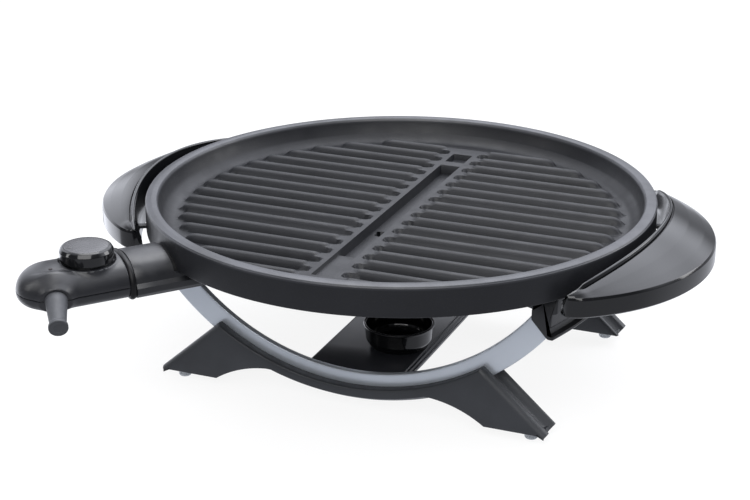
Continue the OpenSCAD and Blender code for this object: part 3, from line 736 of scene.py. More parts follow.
def punch(bm, x, y, z_low, z_high, radius):
    """Opens a round hole in the flat faces near x and y, and returns the hole's edge loop."""
    near = [
        face for face in bm.faces
        if all(math.hypot(v.co.x - x, v.co.y - y) < radius + 1.2 * MM and z_low < v.co.z < z_high
               for v in face.verts)
    ]
    border = set(e for face in near for e in face.edges if any(other not in near for other in e.link_faces))
    bmesh.ops.delete(bm, geom=near, context="FACES")
    loop = [e for e in border if e.is_valid]
    grown = bmesh.ops.extrude_edge_only(bm, edges=loop)["geom"]
    fresh = [item for item in grown if isinstance(item, bmesh.types.BMVert)]
    for v in fresh:
        away = Vector((v.co.x - x, v.co.y - y)).normalized() * radius
        v.co.x = x + away.x
        v.co.y = y + away.y
    edges = [item for item in grown if isinstance(item, bmesh.types.BMEdge)]
    return [edge for edge in edges if all(v in fresh for v in edge.verts)]


def drop_wall(bm, edges, z):
    """Extends an edge loop straight to a height."""
    grown = bmesh.ops.extrude_edge_only(bm, edges=edges)["geom"]
    for item in grown:
        if isinstance(item, bmesh.types.BMVert):
            item.co.z = z


SPOUT_LENGTH = 18
LUG_PLACES = [(x, y) for x in (-143, 143) for y in (-60, 60)]
LUG_FOOT_Z = 115


def drain_spout(p):
    """Short tube under the drain hole."""
    low = p.under_z - SPOUT_LENGTH
    profile = rounded([
        (p.drain_r, low, 0.4), (p.drain_r + 2, low, 0.6), (p.drain_r + 2.2, p.under_z + 0.5, 0),
        (p.drain_r, p.under_z + 0.5, 0)
    ])
    return turned(profile, 64, (0, -p.drain_y))


def plate_lugs(p):
    """Four lugs that keep the plate between the rails."""
    top = p.under_z + 0.5
    side = rounded([(4, LUG_FOOT_Z, 0.8), (4, p.under_z - 1, 1.0), (6, top, 0)], closed=False)
    profile = [(0, LUG_FOOT_Z)] + side + [(0, top)]
    return joined(*[turned(profile, 32, place) for place in LUG_PLACES])


class GRILL_OT_plate(bpy.types.Operator):
    """Ribbed plate with its spout and lugs"""

    bl_idname = "grill.plate"
    bl_label = "Plate"

    def execute(self, context):
        p = in_mm(context, "grill_plate_sizes")
        rows = 521
        top_vertices, top_faces, turns = plate_top(p, rows, 66)
        part = joined((top_vertices, top_faces), plate_wall(p, turns))
        plate = add_piece("ribbed_plate", part, "coating", "griddle", ["grill_plate"],
                          crease=48)
        bm = bmesh.new()
        bm.from_mesh(plate.data)
        drain_y = -p.drain_y * MM
        upper = punch(bm, 0, drain_y, (p.floor_z - 6) * MM, (p.floor_z - 2) * MM, p.drain_r * MM)
        drop_wall(bm, upper, (p.under_z - SPOUT_LENGTH + 0.5) * MM)
        lower = punch(bm, 0, drain_y, (p.under_z - 1) * MM, (p.under_z + 0.5) * MM, (p.drain_r + 1.9) * MM)
        drop_wall(bm, lower, (p.under_z + 0.4) * MM)
        bmesh.ops.recalc_face_normals(bm, faces=bm.faces)
        bm.to_mesh(plate.data)
        bm.free()
        details = joined(drain_spout(p), plate_lugs(p))
        add_piece("plate_spout_and_lugs", details, "coating", "griddle", [])
        return {"FINISHED"}


# Handles

def handle_section(a, h):
    """Section of a handle at an angle in degrees, as (radius, height) points."""
    turn = math.radians(a)
    edge = h.edge_x * math.cos(turn) + math.sqrt(h.edge_r ** 2 - (h.edge_x * math.sin(turn)) ** 2)
    limit = math.degrees(h.half_angle)
    edge -= 4.0 * max(0.0, (abs(a) - limit + 2.8) / 2.8) ** 2.2
    fall = 560 - math.sqrt(560 ** 2 - (h.bead_r * math.sin(turn)) ** 2)
    top = h.bead_z - fall - 3.0 * (abs(a) / limit) ** 8
    bead = float(smooth_step((math.degrees(h.bead_angle) - abs(a)) / 2.0))
    room = min(1.0, (edge - h.bead_r) / 12)
    deck = h.bead_r + 3.6 * room
    bulge = 0.028 * (edge - deck)
    deck_z = top - 2.6 + (1 - bead) * 1.2
    deck_z = max(deck_z, h.edge_z + 0.8)
    bead_top = top * bead + (deck_z + 0.1) * (1 - bead)
    bead_low = bead_top - 2.2
    groove_z = deck_z - 1.9 * bead
    corners = [
        (h.gap_r + 0.2, h.under_z + 1.2, 1.0),
        (h.gap_r + 1.2, h.under_z + 12, 12),
        (h.bead_r - 1.6, bead_low - 0.6, 4),
        (h.bead_r - 1.3, bead_top - 0.3, 1.1),
        (h.bead_r + 1.0 * room, bead_top + 0.1, 1.1),
        (h.bead_r + 1.7 * room, groove_z, 0.4),
        (h.bead_r + 2.5 * room, groove_z - 0.1, 0.4),
        (deck - 0.5 * room, deck_z - 0.1, 0.5),
        (deck + (edge - deck) * 0.35, deck_z - (deck_z - h.edge_z) * 0.35 + bulge, 12 * room),
        (deck + (edge - deck) * 0.72, deck_z - (deck_z - h.edge_z) * 0.72 + 1.1 * bulge, 12 * room),
        (edge - 1.0, h.edge_z + 1.0, 0.8),
        (edge, h.edge_z - 1.0, 0.9),
        (edge, h.under_z + 1.4, 1.0),
        (edge - 1.6, h.under_z, 1.0),
        (h.gap_r + 1.4, h.under_z, 0.6),
    ]
    return rounded(corners, steps=4)


def handle_part(h, steps):
    """Right handle: its sections swept round the plate, with softened end faces."""
    limit = math.degrees(h.half_angle)
    spread = np.linspace(-1, 1, steps)
    turns = [limit * math.sin(math.pi / 2 * t) * 0.5 + limit * t * 0.5 for t in spread]
    rings = []
    arc_mm = math.degrees(1 / h.bead_r)
    softened = [(0.0, 1.3), (0.12, 0.8), (0.4, 0.35), (0.8, 0.08)]
    for back, squeeze in softened:
        rings.append((turns[0] + back * arc_mm, squeeze))
    rings += [(t, 0.0) for t in turns[1:-1] if abs(t) < limit - 1.4 * arc_mm]
    for back, squeeze in reversed(softened):
        rings.append((turns[-1] - back * arc_mm, squeeze))
    solid = []
    for a, squeeze in rings:
        section = handle_section(a, h)
        if squeeze:
            section = inset(section, squeeze)
        turn = math.radians(a)
        solid.append([(r * math.cos(turn), r * math.sin(turn), z) for r, z in section])
    return loft(solid)


class GRILL_OT_handles(bpy.types.Operator):
    """Two crescent handles"""

    bl_idname = "grill.handles"
    bl_label = "Handles"

    def execute(self, context):
        h = in_mm(context, "grill_handle_sizes")
        part = handle_part(h, 97)
        add_pair(("right_crescent_handle", "left_crescent_handle"), ("right_handle", "left_handle"), part, 0,
                 "gloss", "griddle", 38)
        return {"FINISHED"}


# Shroud and collar

SHOULDER_R = 18
SHELL_CORNER_R = 9
SHROUD_CORNER_R = 6
COLLAR_CORNER_R = 7
TUBE_START_S = 186.0
TUBE_WALL = 2.6
COPE_GAP = 3.4
# Depth and reach of the dark piece that paints the shade in the gap at the plate's skirt
SHADE_THROAT_DEPTH = 4.5
SHADE_THROAT_REACH = 5.5


def shroud_section(w):
    """Domed tube section with a ledge along both lower sides."""
    half_w = w.half_w - 2
    ledge_w = w.half_w + 0.5
    dome = dome_half(half_w, w.top_z, w.under_z + 2, SHOULDER_R, SHROUD_CORNER_R)
    dome = [(a, z) for a, z in dome if z > w.seam_z + 2.2]
    side = rounded([
        (0, w.under_z - 0.5, 0), (ledge_w - 3.5, w.under_z - 0.5, 2.5), (ledge_w, w.under_z + 3.5, 2),
        (ledge_w, w.seam_z - 2.0, 0.5), (half_w, w.seam_z + 1.2, 0.4), (half_w - 0.1, w.seam_z + 2.0, 0)
    ], closed=False)
    half = side[:-1] + dome
    return half + [(-a, b) for a, b in reversed(half[1:-1])]


def shroud_part(w, plate_r, skirt_z):
    """Shroud from under the plate to its mouth, coped round the plate's skirt."""
    section = shroud_section(w)
    inner = inset(section, TUBE_WALL)
    end = w.shroud_end_s

    def start_s(a, z):
        clear = math.sqrt((plate_r + COPE_GAP) ** 2 - a * a)
        return clear if z > skirt_z - 0.6 else TUBE_START_S

    def ring(outline, s_of):
        return [(s_of(a, z), a, z) for a, z in outline]

    rings = [ring(section, start_s)]
    for share in (0.25, 0.5, 0.75):
        rings.append([
            (start_s(a, z) * (1 - share) + (end - 0.6) * share, a, z) for a, z in section
        ])
    rings.append(ring(section, lambda a, z: end - 0.6))
    rings.append(ring(inset(section, 0.2), lambda a, z: end - 0.15))
    rings.append(ring(inset(section, 0.6), lambda a, z: end))
    rings.append(ring(inner, lambda a, z: end))
    rings.append(ring(inner, lambda a, z: start_s(a, z) + 1.0))
    outer = loft(rings, caps=False)
    count = len(section)
    last = (len(rings) - 1) * count
    outer[1].extend((j, (j + 1) % count, last + (j + 1) % count, last + j) for j in range(count))
    return outer


def shade_throat_part(w, plate_r):
    """Dark piece in the gap between the shroud and the plate's skirt, standing in for the shadow there (painted
    shade).
    """
    section = inset(shroud_section(w), 1.6)
    low_cut = [(a, min(z, w.top_z - 2)) for a, z in section]
    rings = [[(s, a, z) for a, z in low_cut] for s in (plate_r - SHADE_THROAT_DEPTH, plate_r + SHADE_THROAT_REACH)]
    return loft(rings)


def collar_part(w):
    """Collar ring at the controller's front."""
    outer = dome_section(w.half_w + 1.2, w.top_z + 0.8, w.under_z - 1.5, SHOULDER_R + 1, COLLAR_CORNER_R)
    start = w.shroud_end_s + 0.15
    end = w.housing_s
    middle = (start + end) / 2
    steps = [(start, 2.2), (start + 0.3, 1.2), (start + 1.2, 0.4), (middle, 0.0), (end - 1.6, 0.3),
             (end - 0.5, 1.0), (end, 2.2)]
    rings = [[(s, a, z) for a, z in inset(outer, depth)] for s, depth in steps]
    return loft(rings)


class GRILL_OT_shroud(bpy.types.Operator):
    """Inlet tube, dark throat piece that paints the shade in the gap, and collar"""

    bl_idname = "grill.shroud"
    bl_label = "Shroud"

    def execute(self, context):
        w = in_mm(context, "grill_controller_sizes")
        p = in_mm(context, "grill_plate_sizes")
        turn = controller_matrix(w)
        add_piece("inlet_tube", placed(shroud_part(w, p.radius, p.skirt_z), turn), "satin",
                  "griddle", ["inlet_shroud"], crease=40)
        # Dark piece that paints the shade in the gap round the plate's skirt.
        add_piece("inlet_shade_throat", placed(shade_throat_part(w, p.radius), turn), "collar", "griddle", [],
                  crease=40)
        add_piece("controller_collar", placed(collar_part(w), turn), "collar", "controller",
                  ["collar_ring"], crease=50)
        return {"FINISHED"}


# Controller housing

SPINE_DEPTH = 20
BOSS_LENGTH = 16
BOSS_PLACES = (-14, -5, 0)
BOSS_RADII = (15.0, 11.6, 10.3)
BOSS_BLEND = 7.0
SEAT_MARGIN = 1.4
SEAT_BLEND = 2.6
POCKET_MARGIN = 0.9
GROOVE_W = 0.3
GROOVE_DEPTHS = (0.15, 0.7, 0.9, 0.7, 0.15)
RAY_LENGTH = 52.0
RAY_STEP = 0.5
RAY_HALVINGS = 9


def sleeve_axis(w):
    """Mouth and direction of the cord sleeve in the controller's own axes."""
    mouth = np.array([w.sleeve_s, w.sleeve_w, w.sleeve_z])
    flat = math.cos(w.sleeve_pitch)
    direction = np.array([
        math.cos(w.sleeve_yaw) * flat, math.sin(w.sleeve_yaw) * flat, -math.sin(w.sleeve_pitch)
    ])
    return mouth, direction


def soft_min(a, b, reach):
    """Smaller of two distances, with a soft blend over a reach."""
    share = np.clip(0.5 + 0.5 * (b - a) / reach, 0, 1)
    return b * (1 - share) + a * share - reach * share * (1 - share)


def housing_distance(point, w, radius_at):
    """Rough distance of points from the housing's skin, negative inside."""
    s, side, z = point[..., 0], point[..., 1], point[..., 2]
    plan = np.where(s > w.round_s, np.hypot(s - w.round_s, side), np.abs(side))
    middle_z = w.top_z - SPINE_DEPTH
    lean = np.arctan2(z - middle_z, plan)
    body = np.hypot(plan, z - middle_z) - np.interp(lean, *radius_at)

    mouth, direction = sleeve_axis(w)
    along = (point - mouth) @ direction
    beside = np.linalg.norm((point - mouth) - along[..., None] * direction, axis=-1)
    boss = np.maximum(beside - np.interp(along, BOSS_PLACES, BOSS_RADII), -along - BOSS_LENGTH)
    flared = np.maximum(soft_min(body, boss, BOSS_BLEND), along)
    skin = np.minimum(body, flared)

    seat_r = w.knob_r + SEAT_MARGIN
    reach = np.hypot(s - w.knob_s, side)
    seat = np.maximum(reach - seat_r, np.abs(z - w.knob_z + 4.4) - 4)
    skin = soft_min(skin, seat, SEAT_BLEND)
    pocket = np.maximum(reach - (w.knob_r + POCKET_MARGIN), (w.knob_z - 0.4) - z)
    return np.maximum(skin, -pocket)


def housing_grid(w, coarse):
    """Skin points of the housing by rays from its spine, and the rows above the seam."""
    half = dome_half(w.half_w, w.top_z, w.under_z, SHOULDER_R, SHELL_CORNER_R)
    middle_z = w.top_z - SPINE_DEPTH
    leans = [math.atan2(z - middle_z, x) for x, z in half]
    reaches = [math.hypot(x, z - middle_z) for x, z in half]
    radius_at = (leans, reaches)

    gap = 2.0 if coarse else 0.9
    straight = np.linspace(w.housing_s, w.round_s, int((w.round_s - w.housing_s) / gap) + 1)
    bend = np.linspace(0, math.pi, int(math.pi * w.half_w / gap) + 1)[1:-1]
    origins = [(s, 0.0) for s in straight] + [(w.round_s, 0.0)] * len(bend) + [(s, 0.0) for s in straight[::-1]]
    headings = [(0.0, 1.0)] * len(straight)
    headings += [(math.sin(b), math.cos(b)) for b in bend]
    headings += [(0.0, -1.0)] * len(straight)

    seam = math.atan2(w.seam_z - middle_z, w.half_w)
    width = GROOVE_W / w.half_w
    step = math.radians(4.0 if coarse else 1.7)
    low = np.linspace(-math.pi / 2, seam - 2.6 * width, int((math.pi / 2 + seam) / step))
    high = np.linspace(seam + 2.6 * width, math.pi / 2, int((math.pi / 2 - seam) / step))
    around = np.array([seam - 1.4 * width, seam - width, seam, seam + width, seam + 1.4 * width])
    lifts = np.concatenate([low, around, high])
    depth = np.concatenate([np.zeros(len(low)), GROOVE_DEPTHS, np.zeros(len(high))])

    origin = np.array([(s, side, middle_z) for s, side in origins])[:, None, :]
    heading = np.array(headings)
    ray = np.stack([
        heading[:, None, 0] * np.cos(lifts), heading[:, None, 1] * np.cos(lifts),
        np.repeat(np.sin(lifts)[None, :], len(headings), axis=0)
    ], axis=-1)
    far = np.full(ray.shape[:2], RAY_LENGTH)
    near = np.zeros(ray.shape[:2])
    found = np.zeros(ray.shape[:2], dtype=bool)
    for reach in np.arange(RAY_LENGTH, 4.0, -RAY_STEP):
        inside = housing_distance(origin + ray * reach, w, radius_at) < 0
        fresh = inside & ~found
        near[fresh] = reach
        far[fresh] = reach + RAY_STEP
        found |= inside
    for _ in range(RAY_HALVINGS):
        trial = (near + far) / 2
        inside = housing_distance(origin + ray * trial[..., None], w, radius_at) < 0
        near = np.where(inside, trial, near)
        far = np.where(inside, far, trial)
    skin = origin + ray * (near - depth[None, :])[..., None]
    return skin, len(low) + 2


def grid_part(points):
    """Quads over a grid of points."""
    rows, columns = points.shape[:2]
    vertices = [tuple(p) for p in points.reshape(-1, 3).tolist()]
    faces = [
        (i * columns + j, (i + 1) * columns + j, (i + 1) * columns + j + 1, i * columns + j + 1)
        for i in range(rows - 1) for j in range(columns - 1)
    ]
    return vertices, faces


def thicken(piece, wall):
    """Turns a skin into a shell by adding an inner face."""
    solid = piece.modifiers.new("wall", "SOLIDIFY")
    solid.thickness = wall * MM
    solid.offset = -1.0
    graph = bpy.context.evaluated_depsgraph_get()
    thick = bpy.data.meshes.new_from_object(piece.evaluated_get(graph))
    piece.modifiers.clear()
    piece.data = thick


class GRILL_OT_housing(bpy.types.Operator):
    """Two shells of the controller"""

    bl_idname = "grill.housing"
    bl_label = "Housing"

    def execute(self, context):
        w = in_mm(context, "grill_controller_sizes")
        turn = controller_matrix(w)
        skin, seam = housing_grid(w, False)
        halves = (("controller_top_shell", "upper_shell", skin[:, seam:]),
                  ("controller_bottom_shell", "lower_shell", skin[:, :seam + 1]))
        for name, node, points in halves:
            part = placed(grid_part(points), turn)
            shell = add_piece(name, part, "satin", "controller", [node], crease=55)
            thicken(shell, w.wall * 0.6)
        return {"FINISHED"}


# Knob

def knob_profile(w):
    """Knob with a dark gap under it, a rounded shoulder and a recess for its top."""
    r = w.knob_r
    z = w.knob_z
    h = w.knob_h
    return [(0, z)] + rounded([
        (r - 2.0, z, 0.3), (r - 2.0, z + 1.5, 0.3), (r - 0.3, z + 1.8, 0.5), (r, z + h - 3.8, 1.4),
        (r - 1.5, z + h - 1.1, 1.6),
        (r - 3.2, z + h - 0.1, 0.5), (r - 3.6, z + h - 0.5, 0.3)
    ], steps=6, closed=False) + [(0, z + h - 0.5)]


def knob_cap_profile(w):
    """Slightly domed disc in the knob's top."""
    r = w.knob_r - 3.7
    z = w.knob_z + w.knob_h
    return [(0, z - 1.2)] + rounded([(r, z - 1.2, 0.1), (r, z - 0.2, 0.4), (r * 0.5, z - 0.05, 20)],
                                    closed=False, steps=5) + [(0, z)]


def knob_pointer(w):
    """Small raised bar on the knob's top that points to the setting."""
    end = w.knob_r - 4.6
    start = end - 6.0
    z = w.knob_z + w.knob_h
    outline = rounded([(start, -0.5, 0.3), (end, -0.5, 0.3), (end, 0.5, 0.3), (start, 0.5, 0.3)])
    return loft([
        [(x, y, z - 0.3) for x, y in outline], [(x, y, z + 0.05) for x, y in outline],
        [(x, y, z + 0.12) for x, y in inset(outline, 0.12)]
    ])


class GRILL_OT_knob(bpy.types.Operator):
    """Temperature knob and its top"""

    bl_idname = "grill.knob"
    bl_label = "Knob"

    def execute(self, context):
        w = in_mm(context, "grill_controller_sizes")
        place = controller_matrix(w) @ Matrix.Translation((w.knob_s, 0, 0))
        steps = context.scene.grill_studio.round_steps
        add_piece("temperature_knob", placed(turned(knob_profile(w), steps), place), "gloss",
                  "knob", ["control_knob"], crease=40)
        cap = joined(turned(knob_cap_profile(w), steps), knob_pointer(w))
        add_piece("temperature_knob_top", placed(cap, place), "cap", "knob", ["knob_cap"],
                  crease=40)
        return {"FINISHED"}


# Cord sleeve

def sleeve_profile():
    """Sleeve from its hidden flange to its flared end, with the cord's bore through it."""
    return rounded([
        (3.6, -13, 0.3), (8.75, -13, 0.4), (8.75, -0.5, 1.0), (8.5, 1.0, 1.0), (6.5, 26.5, 5.0),
        (6.55, 28.6, 1.5), (7.5, 30.4, 0.8), (7.5, 33, 0.5), (3.9, 33, 0.5), (3.6, 31, 0.5)
    ])


def sleeve_end_profile():
    """Thin rubber disc that closes the sleeve's end."""
    return [(0, 32.4)] + rounded([(7.1, 32.4, 0.1), (7.1, 33.2, 0.5), (5.4, 33.1, 0.3), (5.0, 32.8, 0.3)],
                                 closed=False) + [(0, 32.8)]


class GRILL_OT_sleeve(bpy.types.Operator):
    """Rubber cord sleeve"""

    bl_idname = "grill.sleeve"
    bl_label = "Cord sleeve"

    def execute(self, context):
        w = in_mm(context, "grill_controller_sizes")
        mouth, direction = sleeve_axis(w)
        turn = Vector((0, 0, 1)).rotation_difference(Vector(direction)).to_matrix().to_4x4()
        place = controller_matrix(w) @ Matrix.Translation(Vector(mouth)) @ turn
        add_piece("cord_sleeve", placed(turned(sleeve_profile(), 72), place), "sleeve",
                  "controller", ["strain_relief"])
        add_piece("cord_sleeve_end", placed(turned(sleeve_end_profile(), 72), place), "end",
                  "controller", [])
        return {"FINISHED"}


# Base

ARCH_HALF_ANGLE = 51.6
ARCH_STEPS = 160
ARCH_HALF_DEPTH = 3.0
ARCH_CROWN = 0.9


def arch_part(b):
    """Front arch: a band with a softly crowned front, bent along its circle."""
    middle = (b.arch_in_r + b.arch_out_r) / 2
    half = (b.arch_out_r - b.arch_in_r) / 2
    front = [(half * math.sin(t), ARCH_CROWN * (1 - math.cos(t)) - ARCH_HALF_DEPTH)
             for t in np.linspace(-0.96, 0.96, 15)]
    scale = half / front[-1][0]
    crown = [(x * scale, y) for x, y in front]
    corners = [(x, y, 0) for x, y in crown[1:-1]]
    section = rounded([(-half, crown[0][1] + 0.2, 0.8)] + corners + [
        (half, crown[-1][1] + 0.2, 0.8), (half, ARCH_HALF_DEPTH, 0.6), (-half, ARCH_HALF_DEPTH, 0.6)
    ])
    rings = []
    for a in np.linspace(-ARCH_HALF_ANGLE, ARCH_HALF_ANGLE, ARCH_STEPS):
        turn = math.radians(a)
        rings.append([
            ((middle + x) * math.sin(turn), -b.arch_y + y, b.arch_z - (middle + x) * math.cos(turn))
            for x, y in section
        ])
    return loft(rings)


class GRILL_OT_arches(bpy.types.Operator):
    """Front and rear arch bands"""

    bl_idname = "grill.arches"
    bl_label = "Arches"

    def execute(self, context):
        b = in_mm(context, "grill_base_sizes")
        add_pair(("front_arch_band", "rear_arch_band"), ("front_arch", "rear_arch"), arch_part(b), 1,
                 "anodised", "base", 45)
        return {"FINISHED"}


def rail_section(b, y, tuck):
    """Section of the right rail at a place along it; tuck lowers its upper inner corner at the ends."""
    edge = b.rail_x - b.rail_bow_r + math.sqrt(b.rail_bow_r ** 2 - y * y)
    return rounded([
        (150.5, 101.8, 0.5), (162.2, 88.6, 0.5), (164.0, 87.2, 0.5), (edge + 5.0, 87.0, 0.7),
        (edge + 6.2, 88.2, 0.7), (edge + 5.6, 90.0, 0.5), (edge + 1.6, 91.2, 0.5), (edge + 1.4, 96.0, 0.8),
        (edge + 3.6, 98.0, 0.6), (edge + 4.4, 108.0, 0.8), (edge + 8.3, 109.4, 0.8), (edge + 8.5, 121.9, 0.4),
        (158.5, 121.9, 0.4), (158.2, 115.6 + 5.8 * (1 - tuck), 0.5), (150.6, 110.0 + 10 * (1 - tuck), 0.5)
    ])


def rail_part(b):
    """Right rail, bowed outward, with softened end faces."""
    end = b.rail_end_y
    places = [(-end, 1.1), (-end + 0.15, 0.5), (-end + 0.6, 0.12)]
    places += [(y, 0.0) for y in np.linspace(-end + 1.2, end - 1.2, 45)]
    places += [(end - 0.6, 0.12), (end - 0.15, 0.5), (end, 1.1)]
    rings = []
    for y, squeeze in places:
        tuck = float(smooth_step((abs(y) - end + 9) / 6))
        section = rail_section(b, y, tuck)
        if squeeze:
            section = inset(section, squeeze * 0.6)
        rings.append([(x, y, z) for x, z in section])
    return loft(rings)


class GRILL_OT_rails(bpy.types.Operator):
    """Left and right rail mouldings"""

    bl_idname = "grill.rails"
    bl_label = "Rails"

    def execute(self, context):
        b = in_mm(context, "grill_base_sizes")
        add_pair(("right_rail_moulding", "left_rail_moulding"), ("right_side_rail", "left_side_rail"),
                 rail_part(b), 0, "satin", "base", 40)
        return {"FINISHED"}


# Places on the right leg seen from the front: the arc under it, its heel and its sloping edge
LEG_ARC_START_X = 62.8
LEG_ARC_X = 63.0
LEG_ARC_Z = -68.5
LEG_ARC_R = 93.4
LEG_HEEL_X = 116.6
LEG_SLOPE_X = 113.6
LEG_SLOPE_Z = 57.7
LEG_SLOPE_FOOT_Z = 9.0


def leg_edges(b, strip_r, slope_in, low_r):
    """Upper and lower edges of the leg moulding's right half, with equal numbers of points."""
    def on_strip(x, radius):
        return b.arch_z - math.sqrt(radius ** 2 - x * x)

    def under_leg(x):
        return LEG_ARC_Z + math.sqrt(LEG_ARC_R ** 2 - (x - LEG_ARC_X) ** 2)

    split = LEG_ARC_START_X
    slope = Vector((b.leg_toe_x + 0.1 - LEG_SLOPE_X, LEG_SLOPE_FOOT_Z - LEG_SLOPE_Z)).normalized()
    inward = Vector((slope.y, -slope.x)) * slope_in
    start = Vector((LEG_SLOPE_X - 0.2, LEG_SLOPE_Z - 0.1)) + inward
    away = start - Vector((0.0, b.arch_z))
    along = away.dot(slope)
    crest = start + slope * (math.sqrt(along ** 2 - away.length_squared + strip_r ** 2) - along)
    toe = Vector((b.leg_toe_x, b.leg_z + 1.2)) + inward

    upper = [(x, on_strip(x, strip_r)) for x in np.linspace(0, split, 20)]
    upper += [(x, on_strip(x, strip_r)) for x in np.linspace(split, crest.x, 15)[1:]]
    upper += [tuple(crest.lerp(toe, t)) for t in np.linspace(0, 1, 13)[1:]]
    lower = [(x, on_strip(x, low_r)) for x in np.linspace(0, split, 20)]
    lower += [(x, min(on_strip(x, low_r), under_leg(x))) for x in np.linspace(split, LEG_HEEL_X, 15)[1:]]
    lower += [(x, b.leg_z) for x in np.linspace(LEG_HEEL_X, toe.x - 1.4, 13)[1:]]
    return upper, lower


def leg_outline(b, strip_r, slope_in, low_r):
    """Closed outline of the leg moulding seen from the front."""
    upper, lower = leg_edges(b, strip_r, slope_in, low_r)
    left = [(-x, z) for x, z in lower[1:]] + [(-x, z) for x, z in upper[:0:-1]]
    return upper + lower[::-1] + left


def leg_cap(first, count):
    """Quads over the end face of a leg outline, which starts at vertex first and has count points a curve."""
    turn = 4 * count - 2
    quads = []
    for i in range(count - 1):
        quads.append((i, i + 1, 2 * count - 2 - i, 2 * count - 1 - i))
        quads.append((-i % turn, (-i - 1) % turn, 2 * count + i, 2 * count - 1 + i))
    return [tuple(first + v for v in quad) for quad in quads]


def leg_part(b):
    """Front leg moulding: rounded bulge, groove and thin ridge down each outer slope."""
    front = b.leg_front_y
    back = b.leg_back_y
    lip = b.arch_y + 3.3
    groove_r = b.strip_r + 5
    slices = [
        (front, b.strip_r + 1.2, 4.2, 0.5), (front - 0.15, b.strip_r + 0.8, 3.7, 0.25),
        (front - 0.5, b.strip_r + 0.4, 3.0, 0.0), (front - 1.1, b.strip_r + 0.1, 2.1, 0.0),
        (front - 2.0, b.strip_r, 1.2, 0.0), (front - 3.2, b.strip_r, 0.5, 0.0),
        (front - 4.6, b.strip_r, 0.1, 0.0), (front - 5.8, b.strip_r, 0.0, 0.0),
        (front - 7.4, b.strip_r, 0.35, 0.0), (lip + 0.5, b.strip_r, 0.8, 0.0),
        (lip + 0.2, b.strip_r + 0.4, 0.9, 0.0), (lip, groove_r, 1.0, 0.0),
        (lip - 0.5, groove_r, 1.6, 0.0), (b.arch_y + 1, groove_r, 3.2, 0.0), (b.arch_y - 1, groove_r, 4.6, 0.0),
        (b.arch_y - 3.0, groove_r, 5.6, 0.0), (b.arch_y - 3.2, b.strip_r, 5.7, 0.0),
        (b.arch_y - 5, b.strip_r, 6.0, 0.0), (b.arch_y - 7, b.strip_r, 5.6, 0.0),
        (b.arch_y - 9, b.strip_r, 4.4, 0.0), (b.arch_y - 11, b.strip_r, 2.6, 0.0),
        (back + 4, b.strip_r, 1.2, 0.0), (back + 2.6, b.strip_r, 0.7, 0.0), (back + 1.2, b.strip_r, 0.9, 0.1),
        (back + 0.4, b.strip_r, 1.4, 0.3), (back, b.strip_r, 2.2, 0.8)
    ]
    rings = []
    for y, strip_r, slope_in, squeeze in slices:
        low_r = np.interp(y, [b.arch_y + 4, front], [b.strip_out_r, b.strip_out_r - 4.5])
        outline = leg_outline(b, strip_r, slope_in, low_r)
        if squeeze:
            outline = inset(outline, squeeze)
        rings.append([(x, -y, z) for x, z in outline])
    vertices, faces = loft(rings, caps=False)
    count = (len(rings[0]) + 2) // 4
    faces += leg_cap(0, count) + leg_cap((len(rings) - 1) * len(rings[0]), count)
    return vertices, faces


class GRILL_OT_legs(bpy.types.Operator):
    """Front and rear leg mouldings"""

    bl_idname = "grill.legs"
    bl_label = "Legs"

    def execute(self, context):
        b = in_mm(context, "grill_base_sizes")
        add_pair(("front_leg_moulding", "rear_leg_moulding"), ("front_leg_frame", "rear_leg_frame"),
                 leg_part(b), 1, "charcoal", "base", 40)
        return {"FINISHED"}


def bridge_part(b):
    """Bridge with stepped edges, on short tongues over the leg mouldings."""
    w = b.bridge_w
    top = b.bridge_z
    half = [
        (w - 4.4, top, 0.7), (w - 3.9, top - 1.4, 0.3), (w - 2.2, top - 1.6, 0.4), (w - 1.8, top - 3.1, 0.3),
        (w - 0.6, top - 3.4, 0.5), (w, top - 4.2, 0.5), (w, top - 6.6, 0.7)
    ]
    section = rounded([(-x, z, r) for x, z, r in reversed(half)] + half, steps=4)
    end = b.bridge_y
    rings = []
    for y, squeeze in ((-end, 0.8), (-end + 0.2, 0.3), (-end + 0.8, 0.0), (-60, 0.0), (-20, 0.0), (20, 0.0),
                       (60, 0.0), (end - 0.8, 0.0), (end - 0.2, 0.3), (end, 0.8)):
        outline = inset(section, squeeze) if squeeze else section
        lift = top - 4.6 if abs(y) > b.leg_back_y - 0.4 else 0.0
        rings.append([(x, y, max(z, lift)) for x, z in outline])
    return loft(rings)


class GRILL_OT_bridge(bpy.types.Operator):
    """Cover between the arches"""

    bl_idname = "grill.bridge"
    bl_label = "Bridge"

    def execute(self, context):
        b = in_mm(context, "grill_base_sizes")
        add_piece("bridge_cover", bridge_part(b), "bridge", "base", ["bridge_plate"],
                  crease=35)
        return {"FINISHED"}


def foot_profile(b):
    """Foot pad that narrows a little where it enters the leg."""
    r = b.foot_r
    side = [(r - 0.9, 0, 0.3), (r, 1.2, 1.0), (r, 5.5, 0.5), (r - 0.4, 6.5, 0.4), (r - 0.4, 9.8, 0)]
    return [(0, 0)] + rounded(side, closed=False) + [(0, 9.8)]


class GRILL_OT_feet(bpy.types.Operator):
    """Four clear foot pads"""

    bl_idname = "grill.feet"
    bl_label = "Feet"

    def execute(self, context):
        b = in_mm(context, "grill_base_sizes")
        for node in ("front_left_foot", "front_right_foot", "rear_left_foot", "rear_right_foot"):
            low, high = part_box(node)
            centre = ((low[0] + high[0]) / 2 / MM, (low[1] + high[1]) / 2 / MM)
            add_piece(node.replace("foot", "pad"), turned(foot_profile(b), 48, centre), "pad",
                      "base", [node])
        return {"FINISHED"}


